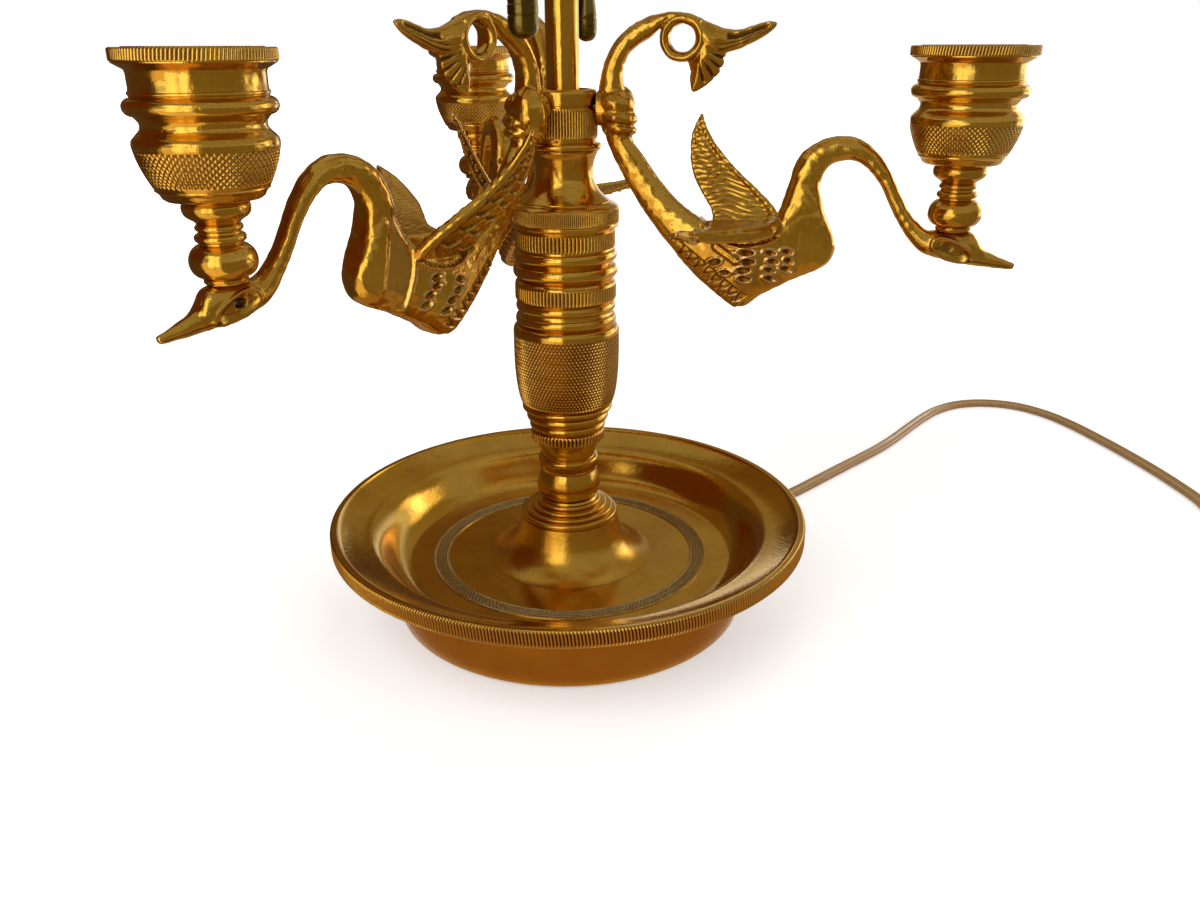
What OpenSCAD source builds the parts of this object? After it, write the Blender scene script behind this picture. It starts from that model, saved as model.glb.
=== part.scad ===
// Bouillotte lamp: a dish base, a turned column, three swan arms with candle cups,
// a twin pull-chain socket cluster and a metal shade that slides on the rod.
// The origin is on the table, on the lamp's axis. +Z is up.

/* [Base] */
// Outer radius of the plain drum under the dish
drum_r = 70; // [60:0.5:80]
// Height of the drum, without its felt
drum_h = 17.8; // [14:0.2:24]
// Wall of the spun drum
drum_wall = 1.4; // [1:0.1:2.5]
// Thickness of the felt under the drum
felt_t = 1.5; // [1:0.5:3]
// Outer radius of the dish, over its milled rim
dish_r = 94.7; // [84:0.5:110]
// Height from the dish's floor to the top of its rim
dish_depth = 19.4; // [14:0.2:26]
// Sheet thickness of the dish
dish_t = 1.2; // [0.8:0.1:2]
// Height of the milled band round the dish's rim
rim_band_h = 3.6; // [2.5:0.1:5]
// Distance of the beaded ring from the edge of the dish's floor
floor_ring_in = 10.5; // [5:0.5:18]
// Thickness of the cast-iron weight inside the drum
weight_t = 7.4; // [5:0.2:8.5]

/* [Column] */
// Outside diameter of the threaded pipe that ties the column together
pipe_d = 9.7; // [8:0.1:10.2]
// Wall of the polished rod above the arms
rod_wall = 0.75; // [0.6:0.05:1.5]
// Radius of the foot where it spreads on the dish
foot_r = 28; // [24:0.5:34]
// Height of the foot
foot_h = 21; // [16:0.5:26]
// Largest radius of the ball over the foot
knop_r = 12.65; // [11:0.05:15]
// Height of the ball
knop_h = 12; // [11:0.5:14]
// Largest radius of the knurled barrel
barrel_r = 20; // [19:0.1:23]
// Height of the knurled barrel
barrel_h = 31; // [26:0.5:37]
// Radius of the two fluted bands
band_r = 18.85; // [17.5:0.05:19.5]
// Radius of the milled collar
collar_r = 19.9; // [18.5:0.1:23]
// Height of the concave neck
neck_h = 17.8; // [15:0.2:22]
// Radius of the hub that carries the arms
hub_r = 12.2; // [11:0.1:14]

/* [Arms] */
// Direction of the left arm, from +X
left_arm_angle = -130.24; // [-140:0.01:-120]
// Radius of the round boss that seats an arm on the hub
boss_r = 5.8; // [5:0.1:7]
// Largest half thickness of the swan's body
swan_half_w = 9; // [7:0.1:11]
// Length of a wing from its root to its tip
wing_len = 45; // [38:0.5:50]
// Rise of the raised wings above level
raised_wing = 59; // [45:1:65]
// Rise of the left arm's lower wing above level
left_low_wing = 24.5; // [2:0.5:45]
// Rise of the right arm's lower wing above level
right_low_wing = 4.5; // [2:0.5:45]
// Rise of the rear arm's lower wing above level
rear_low_wing = 8.5; // [2:0.5:45]

/* [Candle cups] */
// Outer radius of the milled rim
cup_rim_r = 20; // [18.5:0.1:24]
// Radius of the candle hole
candle_r = 11.25; // [9.5:0.05:12.5]
// Depth of the candle hole
candle_depth = 25; // [18:0.5:28]
// Height of a cup over the swan's head
cup_h = 59; // [54:0.5:66]

/* [Sockets] */
// Height of the socket cluster over the hub
cluster_rise = 118; // [110:1:150]
// Distance from the rod's axis to a socket's axis
socket_reach = 57; // [50:0.5:64]
// Turn of the cluster about the rod, from +Y towards +X
cluster_turn = 5.4; // [0:0.1:30]
// Radius of a socket's shell
socket_r = 19.5; // [18:0.1:21]
// Distance from a socket's shell to its pull chain
chain_gap = 3.9; // [3.6:0.1:6]
// Length of the ball chain between the switch and the pull
chain_len = 127.6; // [90:0.2:150]
// Largest radius of a bulb
bulb_r = 24; // [18:0.5:25]

/* [Shade] */
// Radius of the shade's lower edge
shade_r = 180; // [150:1:200]
// Radius of the shade's upper edge
shade_top_r = 128; // [110:1:140]
// Sheet thickness of the shade
shade_t = 0.6; // [0.5:0.1:1.2]
// Height of the shade's lower edge over the bottom of the socket cluster
shade_rise = 27; // [18:1:36]
// How far the shade slides up the rod
slide_up = 45; // [20:1:60]
// How far the shade slides down the rod
slide_down = 15; // [5:1:20]
// Space over the bulbs when the shade is right down
bulb_clear = 8.4; // [5:0.2:20]

/* [Cord] */
// Width of the flat twin cord
cord_w = 5.5; // [5:0.1:6]
// Thickness of the flat twin cord
cord_t = 2.8; // [2.4:0.1:3.2]

/* [Hidden] */
$fn = 64;

fit = 0.15;          // radial clearance between a turned piece and the pipe or rod in it
run = 0.3;           // clearance between pieces that move on each other
far = 400;           // longer than any piece, for cuts that go right through
bore_r = pipe_d / 2 + fit;
rod_bore_r = bore_r;
rod_r = rod_bore_r + rod_wall;

// Turned pieces stand on each other, so each height starts where the last one ends.
drum_z = felt_t;
dish_z = drum_z + drum_h;
floor_z = dish_z + dish_t;
rim_z = floor_z + dish_depth;
floor_r = dish_r - 31.7;
floor_ring_r = floor_r - floor_ring_in;
foot_z = floor_z;
knop_z = foot_z + foot_h;
cove_z = knop_z + knop_h;
cove_h = 17;
stem_z = cove_z + cove_h;
stem_h = 15.5;
barrel_z = stem_z + stem_h;
low_rings_z = barrel_z + barrel_h;
low_rings_h = 9.4;
low_band_z = low_rings_z + low_rings_h;
low_band_h = 7.6;
up_rings_z = low_band_z + low_band_h;
up_rings_h = 11.5;
up_band_z = up_rings_z + up_rings_h;
up_band_h = 6.5;
collar_z = up_band_z + up_band_h;
collar_h = 10;
neck_z = collar_z + collar_h;
hub_z = neck_z + neck_h;
hub_h = 20.3;
hub_top = hub_z + hub_h;
rod_z = hub_top - 3;
boss_z = hub_top - 6.5;

nut_h = 4;
washer_h = 1;
weight_z = dish_z - drum_wall - weight_t;
washer_z = weight_z - washer_h;
nut_z = washer_z - nut_h;
pipe_z = nut_z - 0.5;

arm_turn = 120;
arm_angles = [left_arm_angle, left_arm_angle + arm_turn, left_arm_angle + 2 * arm_turn];
head_x = 123.4;      // from the hub's face to a cup's axis, along an arm
head_z = -38.7;      // from the boss's axis down to the flat that a cup stands on
cup_reach = hub_r + head_x;
cup_z = boss_z + head_z + 0.1;
stud_r = 2;
stud_below = 6;
stud_above = 8;
cup_band_h = 3.4;

cluster_z = hub_top + cluster_rise;
cluster_h = 18;
cluster_r = rod_r + 8.25;
socket_z = cluster_z + 26;
cap_h = 14;
shell_z = socket_z + cap_h - 2;
shell_h = 44;
shell_wall = 0.7;
spout_z = shell_z + 9;
bulb_z = shell_z + 20;
bulb_neck_r = 12.6;
screw_r = 13;
bulb_base_h = 24;
glass_h = 66;
bulb_top = bulb_z + bulb_base_h + glass_h;
ball_r = 1.2;
pull_r = 4.2;
pull_h = 24;
pull_travel = 8;
pull_x = socket_reach + socket_r + chain_gap;
chain_top = spout_z + 2;
chain_z = chain_top - chain_len;
pull_z = chain_z - pull_h;

// The shade is as high as its slide down to the bulbs lets it be.
hoop_d = 2.4;
spoke_d = hoop_d - 0.4;
spoke_z = bulb_top + bulb_clear + slide_down + spoke_d / 2;
spider_z = spoke_z + 1.6;
shade_z = cluster_z + shade_rise;
shade_h = spider_z + 3 - shade_z;
carrier_r = rod_r + 3.25;
carrier_z = spider_z - 12;
carrier_h = 42;
rod_top = carrier_z + carrier_h + slide_up + 2;
rod_h = rod_top - rod_z;
flange_z = spider_z - 3.4;
nut_ring_z = spider_z + 4.3;
key_z = nut_ring_z + 14;
key_seat = carrier_r + 5;
key_r = 2;

cord_angle = 42.5;   // where the cord leaves the drum, from +X
cord_exit_z = 7;
bushing_len = 22;
bushing_r = 4.1;
coil_centre = [340, 28];
coil_in = 18.8;
coil_out = 41.5;
coil_h = 2 * (cord_t + 0.1);

brass = [0.80, 0.55, 0.18];
bronze = [0.30, 0.25, 0.11];
iron = [0.22, 0.22, 0.23];
steel = [0.62, 0.62, 0.64];
felt_green = [0.10, 0.24, 0.14];
tole = [0.06, 0.16, 0.11];
frosted = [0.95, 0.94, 0.90];
porcelain = [0.93, 0.92, 0.88];
clear_gold = [0.80, 0.68, 0.42];

// ---------------------------------------------------------------- helpers

function between(a, b, t) = a + (b - a) * t;

// Points of a cubic curve, without the first one.
function curve(p0, p1, p2, p3, steps) = [
    for (i = [1 : steps])
        let (t = i / steps, s = 1 - t)
            s * s * s * p0 + 3 * s * s * t * p1 + 3 * s * t * t * p2 + t * t * t * p3];

// A smooth curve through points of any number of values, Catmull-Rom, with `steps` spans each.
function through(p, steps) = [
    for (i = [0 : len(p) - 2], k = [0 : steps - 1])
        let (a = p[max(i - 1, 0)], b = p[i], c = p[i + 1], d = p[min(i + 2, len(p) - 1)],
             t = k / steps)
            b + 0.5 * t * (c - a + t * (2 * a - 5 * b + 4 * c - d + t * (3 * (b - c) + d - a))),
    p[len(p) - 1]];

// A turned solid. Its profile is cut back to the bore.
module turned(inner = 0) {
    rotate_extrude()
        difference() {
            children();
            translate([-far, -far])
                square([far + inner, 3 * far]);
        }
}

// A half-round bead on a turned profile: its largest radius, its height and its size.
module bead(r, z, d) {
    translate([r - d / 2, z])
        circle(d = d);
}

// A straight-milled band: teeth round a disc.
module milled(r, h, teeth, depth, inner) {
    linear_extrude(height = h)
        difference() {
            polygon([for (i = [0 : 2 * teeth - 1])
                (i % 2 == 0 ? r : r - depth) * [cos(i * 180 / teeth), sin(i * 180 / teeth)]]);
            circle(r = inner, $fn = 240);
        }
}

// A solid through closed sections that all have the same number of points.
module loft(sections) {
    n = len(sections);
    m = len(sections[0]);
    polyhedron(
        points = [for (s = sections) each s],
        faces = concat(
            [[for (j = [m - 1 : -1 : 0]) j]],
            [for (i = [0 : n - 2], j = [0 : m - 1])
                [i * m + j, i * m + (j + 1) % m, (i + 1) * m + (j + 1) % m]],
            [for (i = [0 : n - 2], j = [0 : m - 1])
                [i * m + j, (i + 1) * m + (j + 1) % m, (i + 1) * m + j]],
            [[for (j = [0 : m - 1]) (n - 1) * m + j]]));
}

module at_arms(which) {
    for (i = which)
        rotate([0, 0, arm_angles[i]])
            children();
}

// Turned so that +X points at the front socket (i = 0) or the rear one (i = 1).
module at_socket(i) {
    rotate([0, 0, -90 - cluster_turn + 180 * i])
        children();
}

// ---------------------------------------------------------------- base

module base_felt() {
    color(felt_green)
        cylinder(r = drum_r - 0.6, h = felt_t);
}

module base_weight() {
    color(iron)
        translate([0, 0, weight_z])
            difference() {
                cylinder(r = drum_r - 8, h = weight_t);
                translate([0, 0, -1])
                    cylinder(r = bore_r, h = weight_t + 2);
            }
}

module base_washer() {
    color(steel)
        translate([0, 0, washer_z])
            difference() {
                cylinder(r = 12, h = washer_h);
                translate([0, 0, -1])
                    cylinder(r = bore_r, h = washer_h + 2);
            }
}

module base_nut() {
    color(brass)
        translate([0, 0, nut_z])
            difference() {
                cylinder(r = 9.8, h = nut_h, $fn = 6);
                translate([0, 0, -1])
                    cylinder(r = pipe_d / 2 + 0.02, h = nut_h + 2);
            }
}

module base_drum() {
    color(brass)
        difference() {
            translate([0, 0, drum_z])
                cylinder(r = drum_r, h = drum_h);
            translate([0, 0, drum_z - 1])
                cylinder(r = drum_r - drum_wall, h = drum_h - drum_wall + 1);
            cylinder(r = bore_r, h = far);
            rotate([0, 0, cord_angle])
                translate([drum_r - 10, 0, cord_exit_z])
                    rotate([0, 90, 0])
                        cylinder(r = bushing_r + 0.1, h = 20);
        }
}

// Half section of the dish: floor, swept wall, flat flange and plain lip.
module dish() {
    lip_r = dish_r - 1.2;
    wall_r = dish_r - 13.5;
    shelf_z = rim_z - 5.9;
    lip_z = rim_z - 6.2;
    over = curve([floor_r, floor_z], [floor_r + 8.5, floor_z + 0.6],
                 [wall_r - 7, shelf_z - 0.6], [wall_r, shelf_z], 12);
    under = curve([floor_r + 0.6, dish_z], [floor_r + 9.6, dish_z + 0.6],
                  [wall_r - 6, shelf_z - dish_t - 0.6], [wall_r + 0.4, shelf_z - dish_t], 12);
    color(brass)
        turned(bore_r)
            polygon(concat(
                [[0, dish_z], [0, floor_z], [floor_r, floor_z]],
                over,
                [[lip_r - 3.5, rim_z - 3.4], [lip_r - 2.6, rim_z - rim_band_h + 0.4]],
                [[lip_r - 2.6, rim_z - 0.4], [lip_r - 2.2, rim_z]],
                [[lip_r - 1.6, rim_z], [lip_r - 1.6, rim_z - rim_band_h]],
                [[lip_r, rim_z - rim_band_h], [lip_r, lip_z], [lip_r - 3, lip_z - 0.4]],
                [for (i = [len(under) - 1 : -1 : 0]) under[i]],
                [[floor_r + 0.6, dish_z]]));
}

module dish_rim_band() {
    color(brass)
        translate([0, 0, rim_z - rim_band_h])
            milled(dish_r, rim_band_h - 0.2, 240, 0.6, dish_r - 2.8);
}

// A fine beaded wire between two plain ones, let into the dish's floor.
module dish_floor_ring() {
    color(brass)
        translate([0, 0, floor_z])
            union() {
                turned(floor_ring_r - 3)
                    polygon([[0, 0], [floor_ring_r - 2.2, 0], [floor_ring_r - 2.2, 0.4], [0, 0.4]]);
                turned(floor_ring_r - 2.2)
                    polygon([[0, 0], [floor_ring_r + 2.2, 0], [floor_ring_r + 2.2, 0.25], [0, 0.25]]);
                turned(floor_ring_r + 2.2)
                    polygon([[0, 0], [floor_ring_r + 3, 0], [floor_ring_r + 3, 0.4], [0, 0.4]]);
                translate([0, 0, 0.2])
                    milled(floor_ring_r + 1.6, 0.35, 110, 0.5, floor_ring_r - 1.6);
            }
}

// ---------------------------------------------------------------- column

module foot() {
    step_z = foot_h - 6.5;
    color(brass)
        translate([0, 0, foot_z])
            turned(bore_r) {
                polygon(concat(
                    [[0, 0], [foot_r, 0], [foot_r, 0.8]],
                    curve([foot_r, 0.8], [foot_r - 5, 3], [20.6, step_z - 5], [19.3, step_z], 8),
                    [[17.4, step_z + 1.8], [15.8, step_z + 3.4], [14.2, step_z + 5]],
                    [[13.6, foot_h], [0, foot_h]]));
                bead(19.6, step_z + 0.8, 2);
                bead(17.9, step_z + 2.6, 1.9);
                bead(16.2, step_z + 4.2, 1.8);
                bead(14.6, step_z + 5.6, 1.6);
            }
}

module knop() {
    color(brass)
        translate([0, 0, knop_z])
            turned(bore_r)
                intersection() {
                    union() {
                        bead(knop_r, knop_h / 2 + 0.8, 13.2);
                        square([9.2, knop_h]);
                    }
                    square([knop_r + 1, knop_h]);
                }
}

// Two milled discs with a bell-shaped cove between them.
module cove() {
    low_r = 12.6;
    high_r = 14.4;
    color(brass)
        translate([0, 0, cove_z])
            union() {
                turned(bore_r)
                    polygon(concat(
                        [[0, 0], [low_r - 0.9, 0], [low_r - 0.9, 2.6], [low_r - 0.2, 2.8]],
                        [[low_r - 0.4, 3.6], [low_r - 1.4, 4.3], [10.4, 5.2]],
                        curve([10.4, 5.2], [10.6, 8.5], [12.4, 10], [13.2, 13], 6),
                        [[high_r - 0.8, 13.2], [high_r - 0.8, cove_h - 0.8], [high_r - 0.3, cove_h]],
                        [[0, cove_h]]));
                milled(low_r, 2.4, 48, 0.5, low_r - 2);
                translate([0, 0, 13.4])
                    milled(high_r, 2.8, 60, 0.5, high_r - 2);
            }
}

module stem() {
    top_r = barrel_r - 2.6;
    color(brass)
        translate([0, 0, stem_z])
            turned(bore_r) {
                polygon([[0, 0], [top_r - 3, 0], [top_r - 2.8, 3], [top_r - 2.3, 5.4],
                         [top_r - 2.2, 8.2], [top_r - 1.7, 9.6], [top_r - 1.2, 12.6],
                         [top_r - 0.6, 14], [top_r, stem_h], [0, stem_h]]);
                bead(top_r - 2.2, 3.6, 2.2);
                bead(top_r - 1.7, 6.6, 2.4);
                bead(top_r - 0.8, 11.4, 3);
                bead(top_r - 0.1, 14.4, 2.2);
            }
}

module barrel() {
    shoulder = barrel_h - 4;
    color(brass)
        translate([0, 0, barrel_z])
            turned(bore_r)
                polygon(concat(
                    [[0, 0], [barrel_r - 2.4, 0]],
                    curve([barrel_r - 2.4, 0], [barrel_r - 0.8, 3.5], [barrel_r - 0.1, 12],
                          [barrel_r, shoulder - 4], 8),
                    [[barrel_r, shoulder]],
                    curve([barrel_r, shoulder], [barrel_r, shoulder + 2],
                          [barrel_r - 0.5, shoulder + 3.2], [barrel_r - 1.6, barrel_h], 4),
                    [[0, barrel_h]]));
}

// Plain rings between fluted bands: beads with narrow grooves.
module ring_stack(h, core, beads) {
    turned(bore_r) {
        square([core, h]);
        for (b = beads)
            bead(b[0], b[1], b[2]);
    }
}

module lower_rings() {
    color(brass)
        translate([0, 0, low_rings_z])
            ring_stack(low_rings_h, band_r - 1.2, [[band_r, 2.3, 3.8], [band_r - 0.2, 7, 3.8]]);
}

// A fluted band with a plain shoulder over it.
module fluted_band(h, r, teeth, flute_h) {
    turned(bore_r)
        polygon([[0, 0], [r - 0.5, 0], [r - 0.5, flute_h], [r, flute_h + 0.3],
                 [r, h - 0.8], [r - 0.8, h], [0, h]]);
    translate([0, 0, 0.3])
        milled(r, flute_h - 0.4, teeth, 0.55, r - 3);
}

module lower_band() {
    color(brass)
        translate([0, 0, low_band_z])
            union()
                fluted_band(low_band_h, band_r, 84, 5.2);
}

module upper_rings() {
    color(brass)
        translate([0, 0, up_rings_z])
            ring_stack(up_rings_h, band_r - 1.4,
                       [[band_r + 0.45, 3.2, 4.4], [band_r + 0.15, 8.6, 4.4]]);
}

module upper_band() {
    color(brass)
        translate([0, 0, up_band_z])
            union()
                fluted_band(up_band_h, band_r - 0.35, 80, 4.6);
}

module collar() {
    color(brass)
        translate([0, 0, collar_z])
            union() {
                turned(bore_r)
                    polygon([[0, 0], [band_r - 1, 0], [band_r - 1, 1.2], [collar_r - 0.5, 1.5],
                             [collar_r - 0.5, 6], [collar_r, 6.3], [collar_r, 8],
                             [collar_r - 0.5, 8.8], [16.8, collar_h], [0, collar_h]]);
                translate([0, 0, 1.8])
                    milled(collar_r, 4.2, 144, 0.4, collar_r - 2);
            }
}

module neck() {
    waist_r = hub_r - 1.6;
    color(brass)
        translate([0, 0, neck_z])
            turned(bore_r)
                polygon(concat(
                    [[0, 0], [16.5, 0]],
                    curve([16.5, 0], [waist_r + 1.8, 2.8], [waist_r, 6], [waist_r, 9.6], 8),
                    curve([waist_r, 9.6], [waist_r, 13], [waist_r + 0.6, neck_h - 2.4],
                          [waist_r + 2, neck_h - 0.8], 5),
                    [[waist_r + 2, neck_h], [0, neck_h]]));
}

// The hub: a flared ring, a fluted band and a plain cap, drilled for the arms' screws.
module arm_hub() {
    ring_h = 2.5;
    flute_h = 9.4;
    flute_z = 2.6;
    color(brass)
        translate([0, 0, hub_z])
            difference() {
                union() {
                    turned(bore_r) {
                        polygon([[0, 0], [hub_r + 0.3, 0], [hub_r, ring_h], [hub_r - 0.5, ring_h],
                                 [hub_r - 0.5, flute_z + flute_h], [hub_r - 0.1, flute_z + flute_h],
                                 [hub_r - 0.1, hub_h - 1.4], [hub_r - 0.6, hub_h - 0.5],
                                 [hub_r - 1.8, hub_h], [0, hub_h]]);
                        bead(hub_r + 1.3, ring_h / 2, ring_h);
                    }
                    translate([0, 0, flute_z])
                        milled(hub_r, flute_h, 48, 0.45, hub_r - 2);
                }
                translate([0, 0, hub_h - 3])
                    cylinder(r = rod_r + fit, h = 4);
                for (a = arm_angles)
                    rotate([0, 0, a])
                        translate([bore_r - 1, 0, boss_z - hub_z])
                            rotate([0, 90, 0])
                                cylinder(r = stud_r + fit, h = hub_r);
            }
}

module tie_pipe() {
    color(steel)
        translate([0, 0, pipe_z])
            difference() {
                cylinder(r = pipe_d / 2, h = rod_z + 12 - pipe_z);
                translate([0, 0, -1])
                    cylinder(r = pipe_d / 2 - 1.4, h = far);
            }
}

module column_rod() {
    color(brass)
        translate([0, 0, rod_z])
            difference() {
                cylinder(r = rod_r, h = rod_h);
                translate([0, 0, -1])
                    cylinder(r = rod_bore_r, h = rod_h + 2);
            }
}

// ---------------------------------------------------------------- swan arms

// An arm is drawn in its own plane: x out from the hub's face, z up from the boss's axis, y across.
// Each station is [upper x, upper z, lower x, lower z, half thickness, how much it narrows below].
swan_stations = [
    [13.2, -5.5, 2.6, -4.6, 4.8, 0],
    [12.4, -9.8, 3.6, -10.8, 4.4, 0],
    [16.4, -15.6, 7.4, -19, 4.4, 0],
    [26.3, -28.3, 16.8, -34.5, 5, 0.1],
    [36.8, -36.5, 29.3, -49.5, 7, 0.3],
    [45.8, -39.5, 43.8, -63, 10, 0.45],
    [51.8, -40.5, 52.6, -67.6, 11, 0.45],
    [57.8, -40, 60.5, -62.6, 11, 0.35],
    [63.2, -36, 71, -57, 9.8, 0.25],
    [65.6, -29.5, 82, -51.6, 8.4, 0.15],
    [67.2, -24, 84.6, -44, 7.2, 0.1],
    [68.8, -18, 80.4, -33.5, 6, 0.1],
    [72.1, -12.8, 78.1, -23.5, 4.9, 0],
    [79.5, -8.7, 81.6, -17.4, 4.4, 0],
    [88, -8.4, 88, -16.2, 4.2, 0],
    [95, -12.2, 92.8, -18.4, 3.9, 0],
    [101, -19.4, 98.4, -24.8, 3.5, 0],
    [107.6, -31.2, 104.6, -35.8, 3.4, 0],
    [113.9, -38, 111.4, -44.6, 3.9, 0],
    [119, -38.7, 117.6, -47.7, 4.8, 0],
    [129.2, -38.8, 129.6, -50.1, 4.7, 0.1],
    [134, -44.2, 134.4, -50.6, 3.2, 0],
    [139, -46.9, 138.9, -51.1, 2.2, 0],
    [145.2, -49.4, 144.6, -51.3, 0.9, 0]];

scroll_stations = [
    [0.6, -1, 11, -1, 4.8, 0],
    [0.2, 4, 9.6, 6.4, 4.5, 0],
    [2.3, 14.2, 9, 11.6, 4.2, 0],
    [6.1, 21.3, 11, 17.4, 4, 0],
    [11.4, 26.3, 15, 20.8, 3.9, 0],
    [17, 29.1, 18.4, 22.8, 3.7, 0],
    [21.4, 30.2, 21.6, 24.8, 3.6, 0],
    [26, 30.7, 26.2, 27.4, 3.5, 0],
    [31, 30.2, 30.8, 27.2, 3.6, 0],
    [35.6, 28.6, 34.6, 24, 3.8, 0]];

function swan_section(s, half_w_scale, sides) =
    let (c = [s[0] + s[2], s[1] + s[3]] / 2, e = [s[0] - s[2], s[1] - s[3]] / 2)
        [for (k = [0 : sides - 1])
            let (a = k * 360 / sides, u = cos(a))
                [c[0] + e[0] * u,
                 s[4] * half_w_scale * sin(a) * (1 - s[5] * (1 - u) / 2),
                 c[1] + e[1] * u]];

module swept(stations, half_w_scale = 1, steps = 2, sides = 12) {
    loft([for (s = through(stations, steps)) swan_section(s, half_w_scale, sides)]);
}

// Chords of a wing from root to tip: [share of its length, trailing x, leading x, half thickness].
wing_chords = [
    [0, 39, 65.5, 2.2],
    [0.1, 40.6, 65.2, 2],
    [0.2, 39.8, 63.6, 1.8],
    [0.36, 35.5, 57.2, 1.6],
    [0.52, 32, 49.6, 1.5],
    [0.7, 30.6, 42.2, 1.3],
    [0.86, 31, 37.2, 1.1],
    [1, 33.4, 34.6, 0.5]];
wing_root_y = 6;       // across the arm
raised_root = -42;     // up from the boss's axis
low_root = -37.5;
wing_sunk = 5.5;       // how far a wing's first section is sunk in the body

// A wing is thickest at its leading edge. It bows out a little between root and tip, and turns
// down at its root, where its first section stands upright inside the body.
module wing(rise, root_z) {
    loft([for (i = [-1 : len(wing_chords) - 1])
        let (c = wing_chords[max(i, 0)], sunk = i < 0 ? 1 : 0,
             tilt = i < 0 ? 90 : i == 0 ? (rise + 60) / 2 : rise,
             t = c[0] * wing_len, bow = 2.4 * sin(180 * c[0]),
             y0 = wing_root_y + t * cos(rise) + bow * sin(rise) - sunk,
             z0 = root_z + t * sin(rise) - bow * cos(rise) - wing_sunk * sunk,
             mid = (c[1] + c[2]) / 2, half = (c[2] - c[1]) / 2)
            [for (k = [0 : 9])
                let (a = k * 36, t_here = c[3] * (1.2 + 0.6 * cos(a)) / 1.5)
                    [mid + half * cos(a),
                     y0 - t_here * sin(a) * sin(tilt),
                     z0 + t_here * sin(a) * cos(tilt)]]]);
}

// A feather: a row of flattened balls, [x, z, radius], joined one to the next.
module feather(balls, flat = 0.75) {
    for (i = [0 : len(balls) - 2])
        hull()
            for (b = [balls[i], balls[i + 1]])
                translate([b[0], 0, b[1]])
                    scale([1, flat, 1])
                        sphere(r = b[2], $fn = 8);
}

eye_centre = [28.3, 23.2];

module scroll() {
    swept(scroll_stations);
    translate([eye_centre[0], 0, eye_centre[1]])
        rotate([90, 0, 0])
            cylinder(r = 7.4, h = 7, center = true, $fn = 28);
    // The raised collar round the eye.
    translate([eye_centre[0], 0, eye_centre[1]])
        rotate([90, 0, 0])
            cylinder(r = 6.6, h = 8, center = true, $fn = 28);
    feather([[35, 23.4, 5], [44, 21.8, 3.6], [52.5, 24, 2.6], [59.4, 27, 1]]);
    for (tip = [[33.4, 6.8], [36.8, 8.6], [39.6, 11], [41.6, 13.8], [42.6, 17]])
        feather([[35, 18.5, 3.2], [tip[0], tip[1], 1.6]]);
}

module swan_arm(low_rise) {
    difference() {
        union() {
            swept(swan_stations, swan_half_w / 9);
            scroll();
            rotate([0, 90, 0])
                translate([0, 0, -1])
                    cylinder(r = boss_r, h = 5, $fn = 28);
            for (band = [[6.9, 1.6, 6.4, 0.75], [7.6, -2.6, 6.7, 0.5], [8.2, -6.2, 6.1, 0.4]])
                translate([band[0], 0, band[1]])
                    rotate([0, 12, 0])
                        scale([1, 1, band[3]])
                            sphere(r = band[2], $fn = 18);
            wing(raised_wing, raised_root);
            mirror([0, 1, 0])
                wing(low_rise, low_root);
            // The feathered edge under the tail, a saw of short quills.
            for (i = [0 : 6])
                translate([30.5 + 3.3 * i, 0, -50.6 - 2.6 * i])
                    rotate([0, 38, 0])
                        feather([[0, 4, 2.2], [0, -1.6, 0.8]], 1.2);
        }
        translate([eye_centre[0], 0, eye_centre[1]])
            rotate([90, 0, 0])
                cylinder(r = 5.2, h = 30, center = true, $fn = 28);
        // The hub's face, the screw behind the boss, the cup's stud and the bird's hollow eye.
        translate([-hub_r, 0, -20])
            cylinder(r = hub_r + 0.05, h = 40, $fn = 72);
        translate([-5, 0, 0])
            rotate([0, 90, 0])
                cylinder(r = stud_r + 0.1, h = 12, $fn = 20);
        translate([head_x, 0, head_z - stud_below - 0.2])
            cylinder(r = stud_r + 0.1, h = 20, $fn = 20);
        translate([125.8, 0, -44.6])
            rotate([90, 0, 0])
                cylinder(r = 1.2, h = 20, center = true, $fn = 12);
    }
}

module placed_arm(i, low_rise) {
    color(brass)
        at_arms([i])
            translate([hub_r, 0, boss_z])
                swan_arm(low_rise);
}

module arm_left() { placed_arm(0, left_low_wing); }
module arm_right() { placed_arm(1, right_low_wing); }
module arm_rear() { placed_arm(2, rear_low_wing); }

module arm_screws() {
    color(steel)
        at_arms([0, 1, 2])
            translate([bore_r + 0.3, 0, boss_z])
                rotate([0, 90, 0])
                    cylinder(r = stud_r, h = hub_r + 6 - bore_r);
}

// ---------------------------------------------------------------- candle cups

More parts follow.
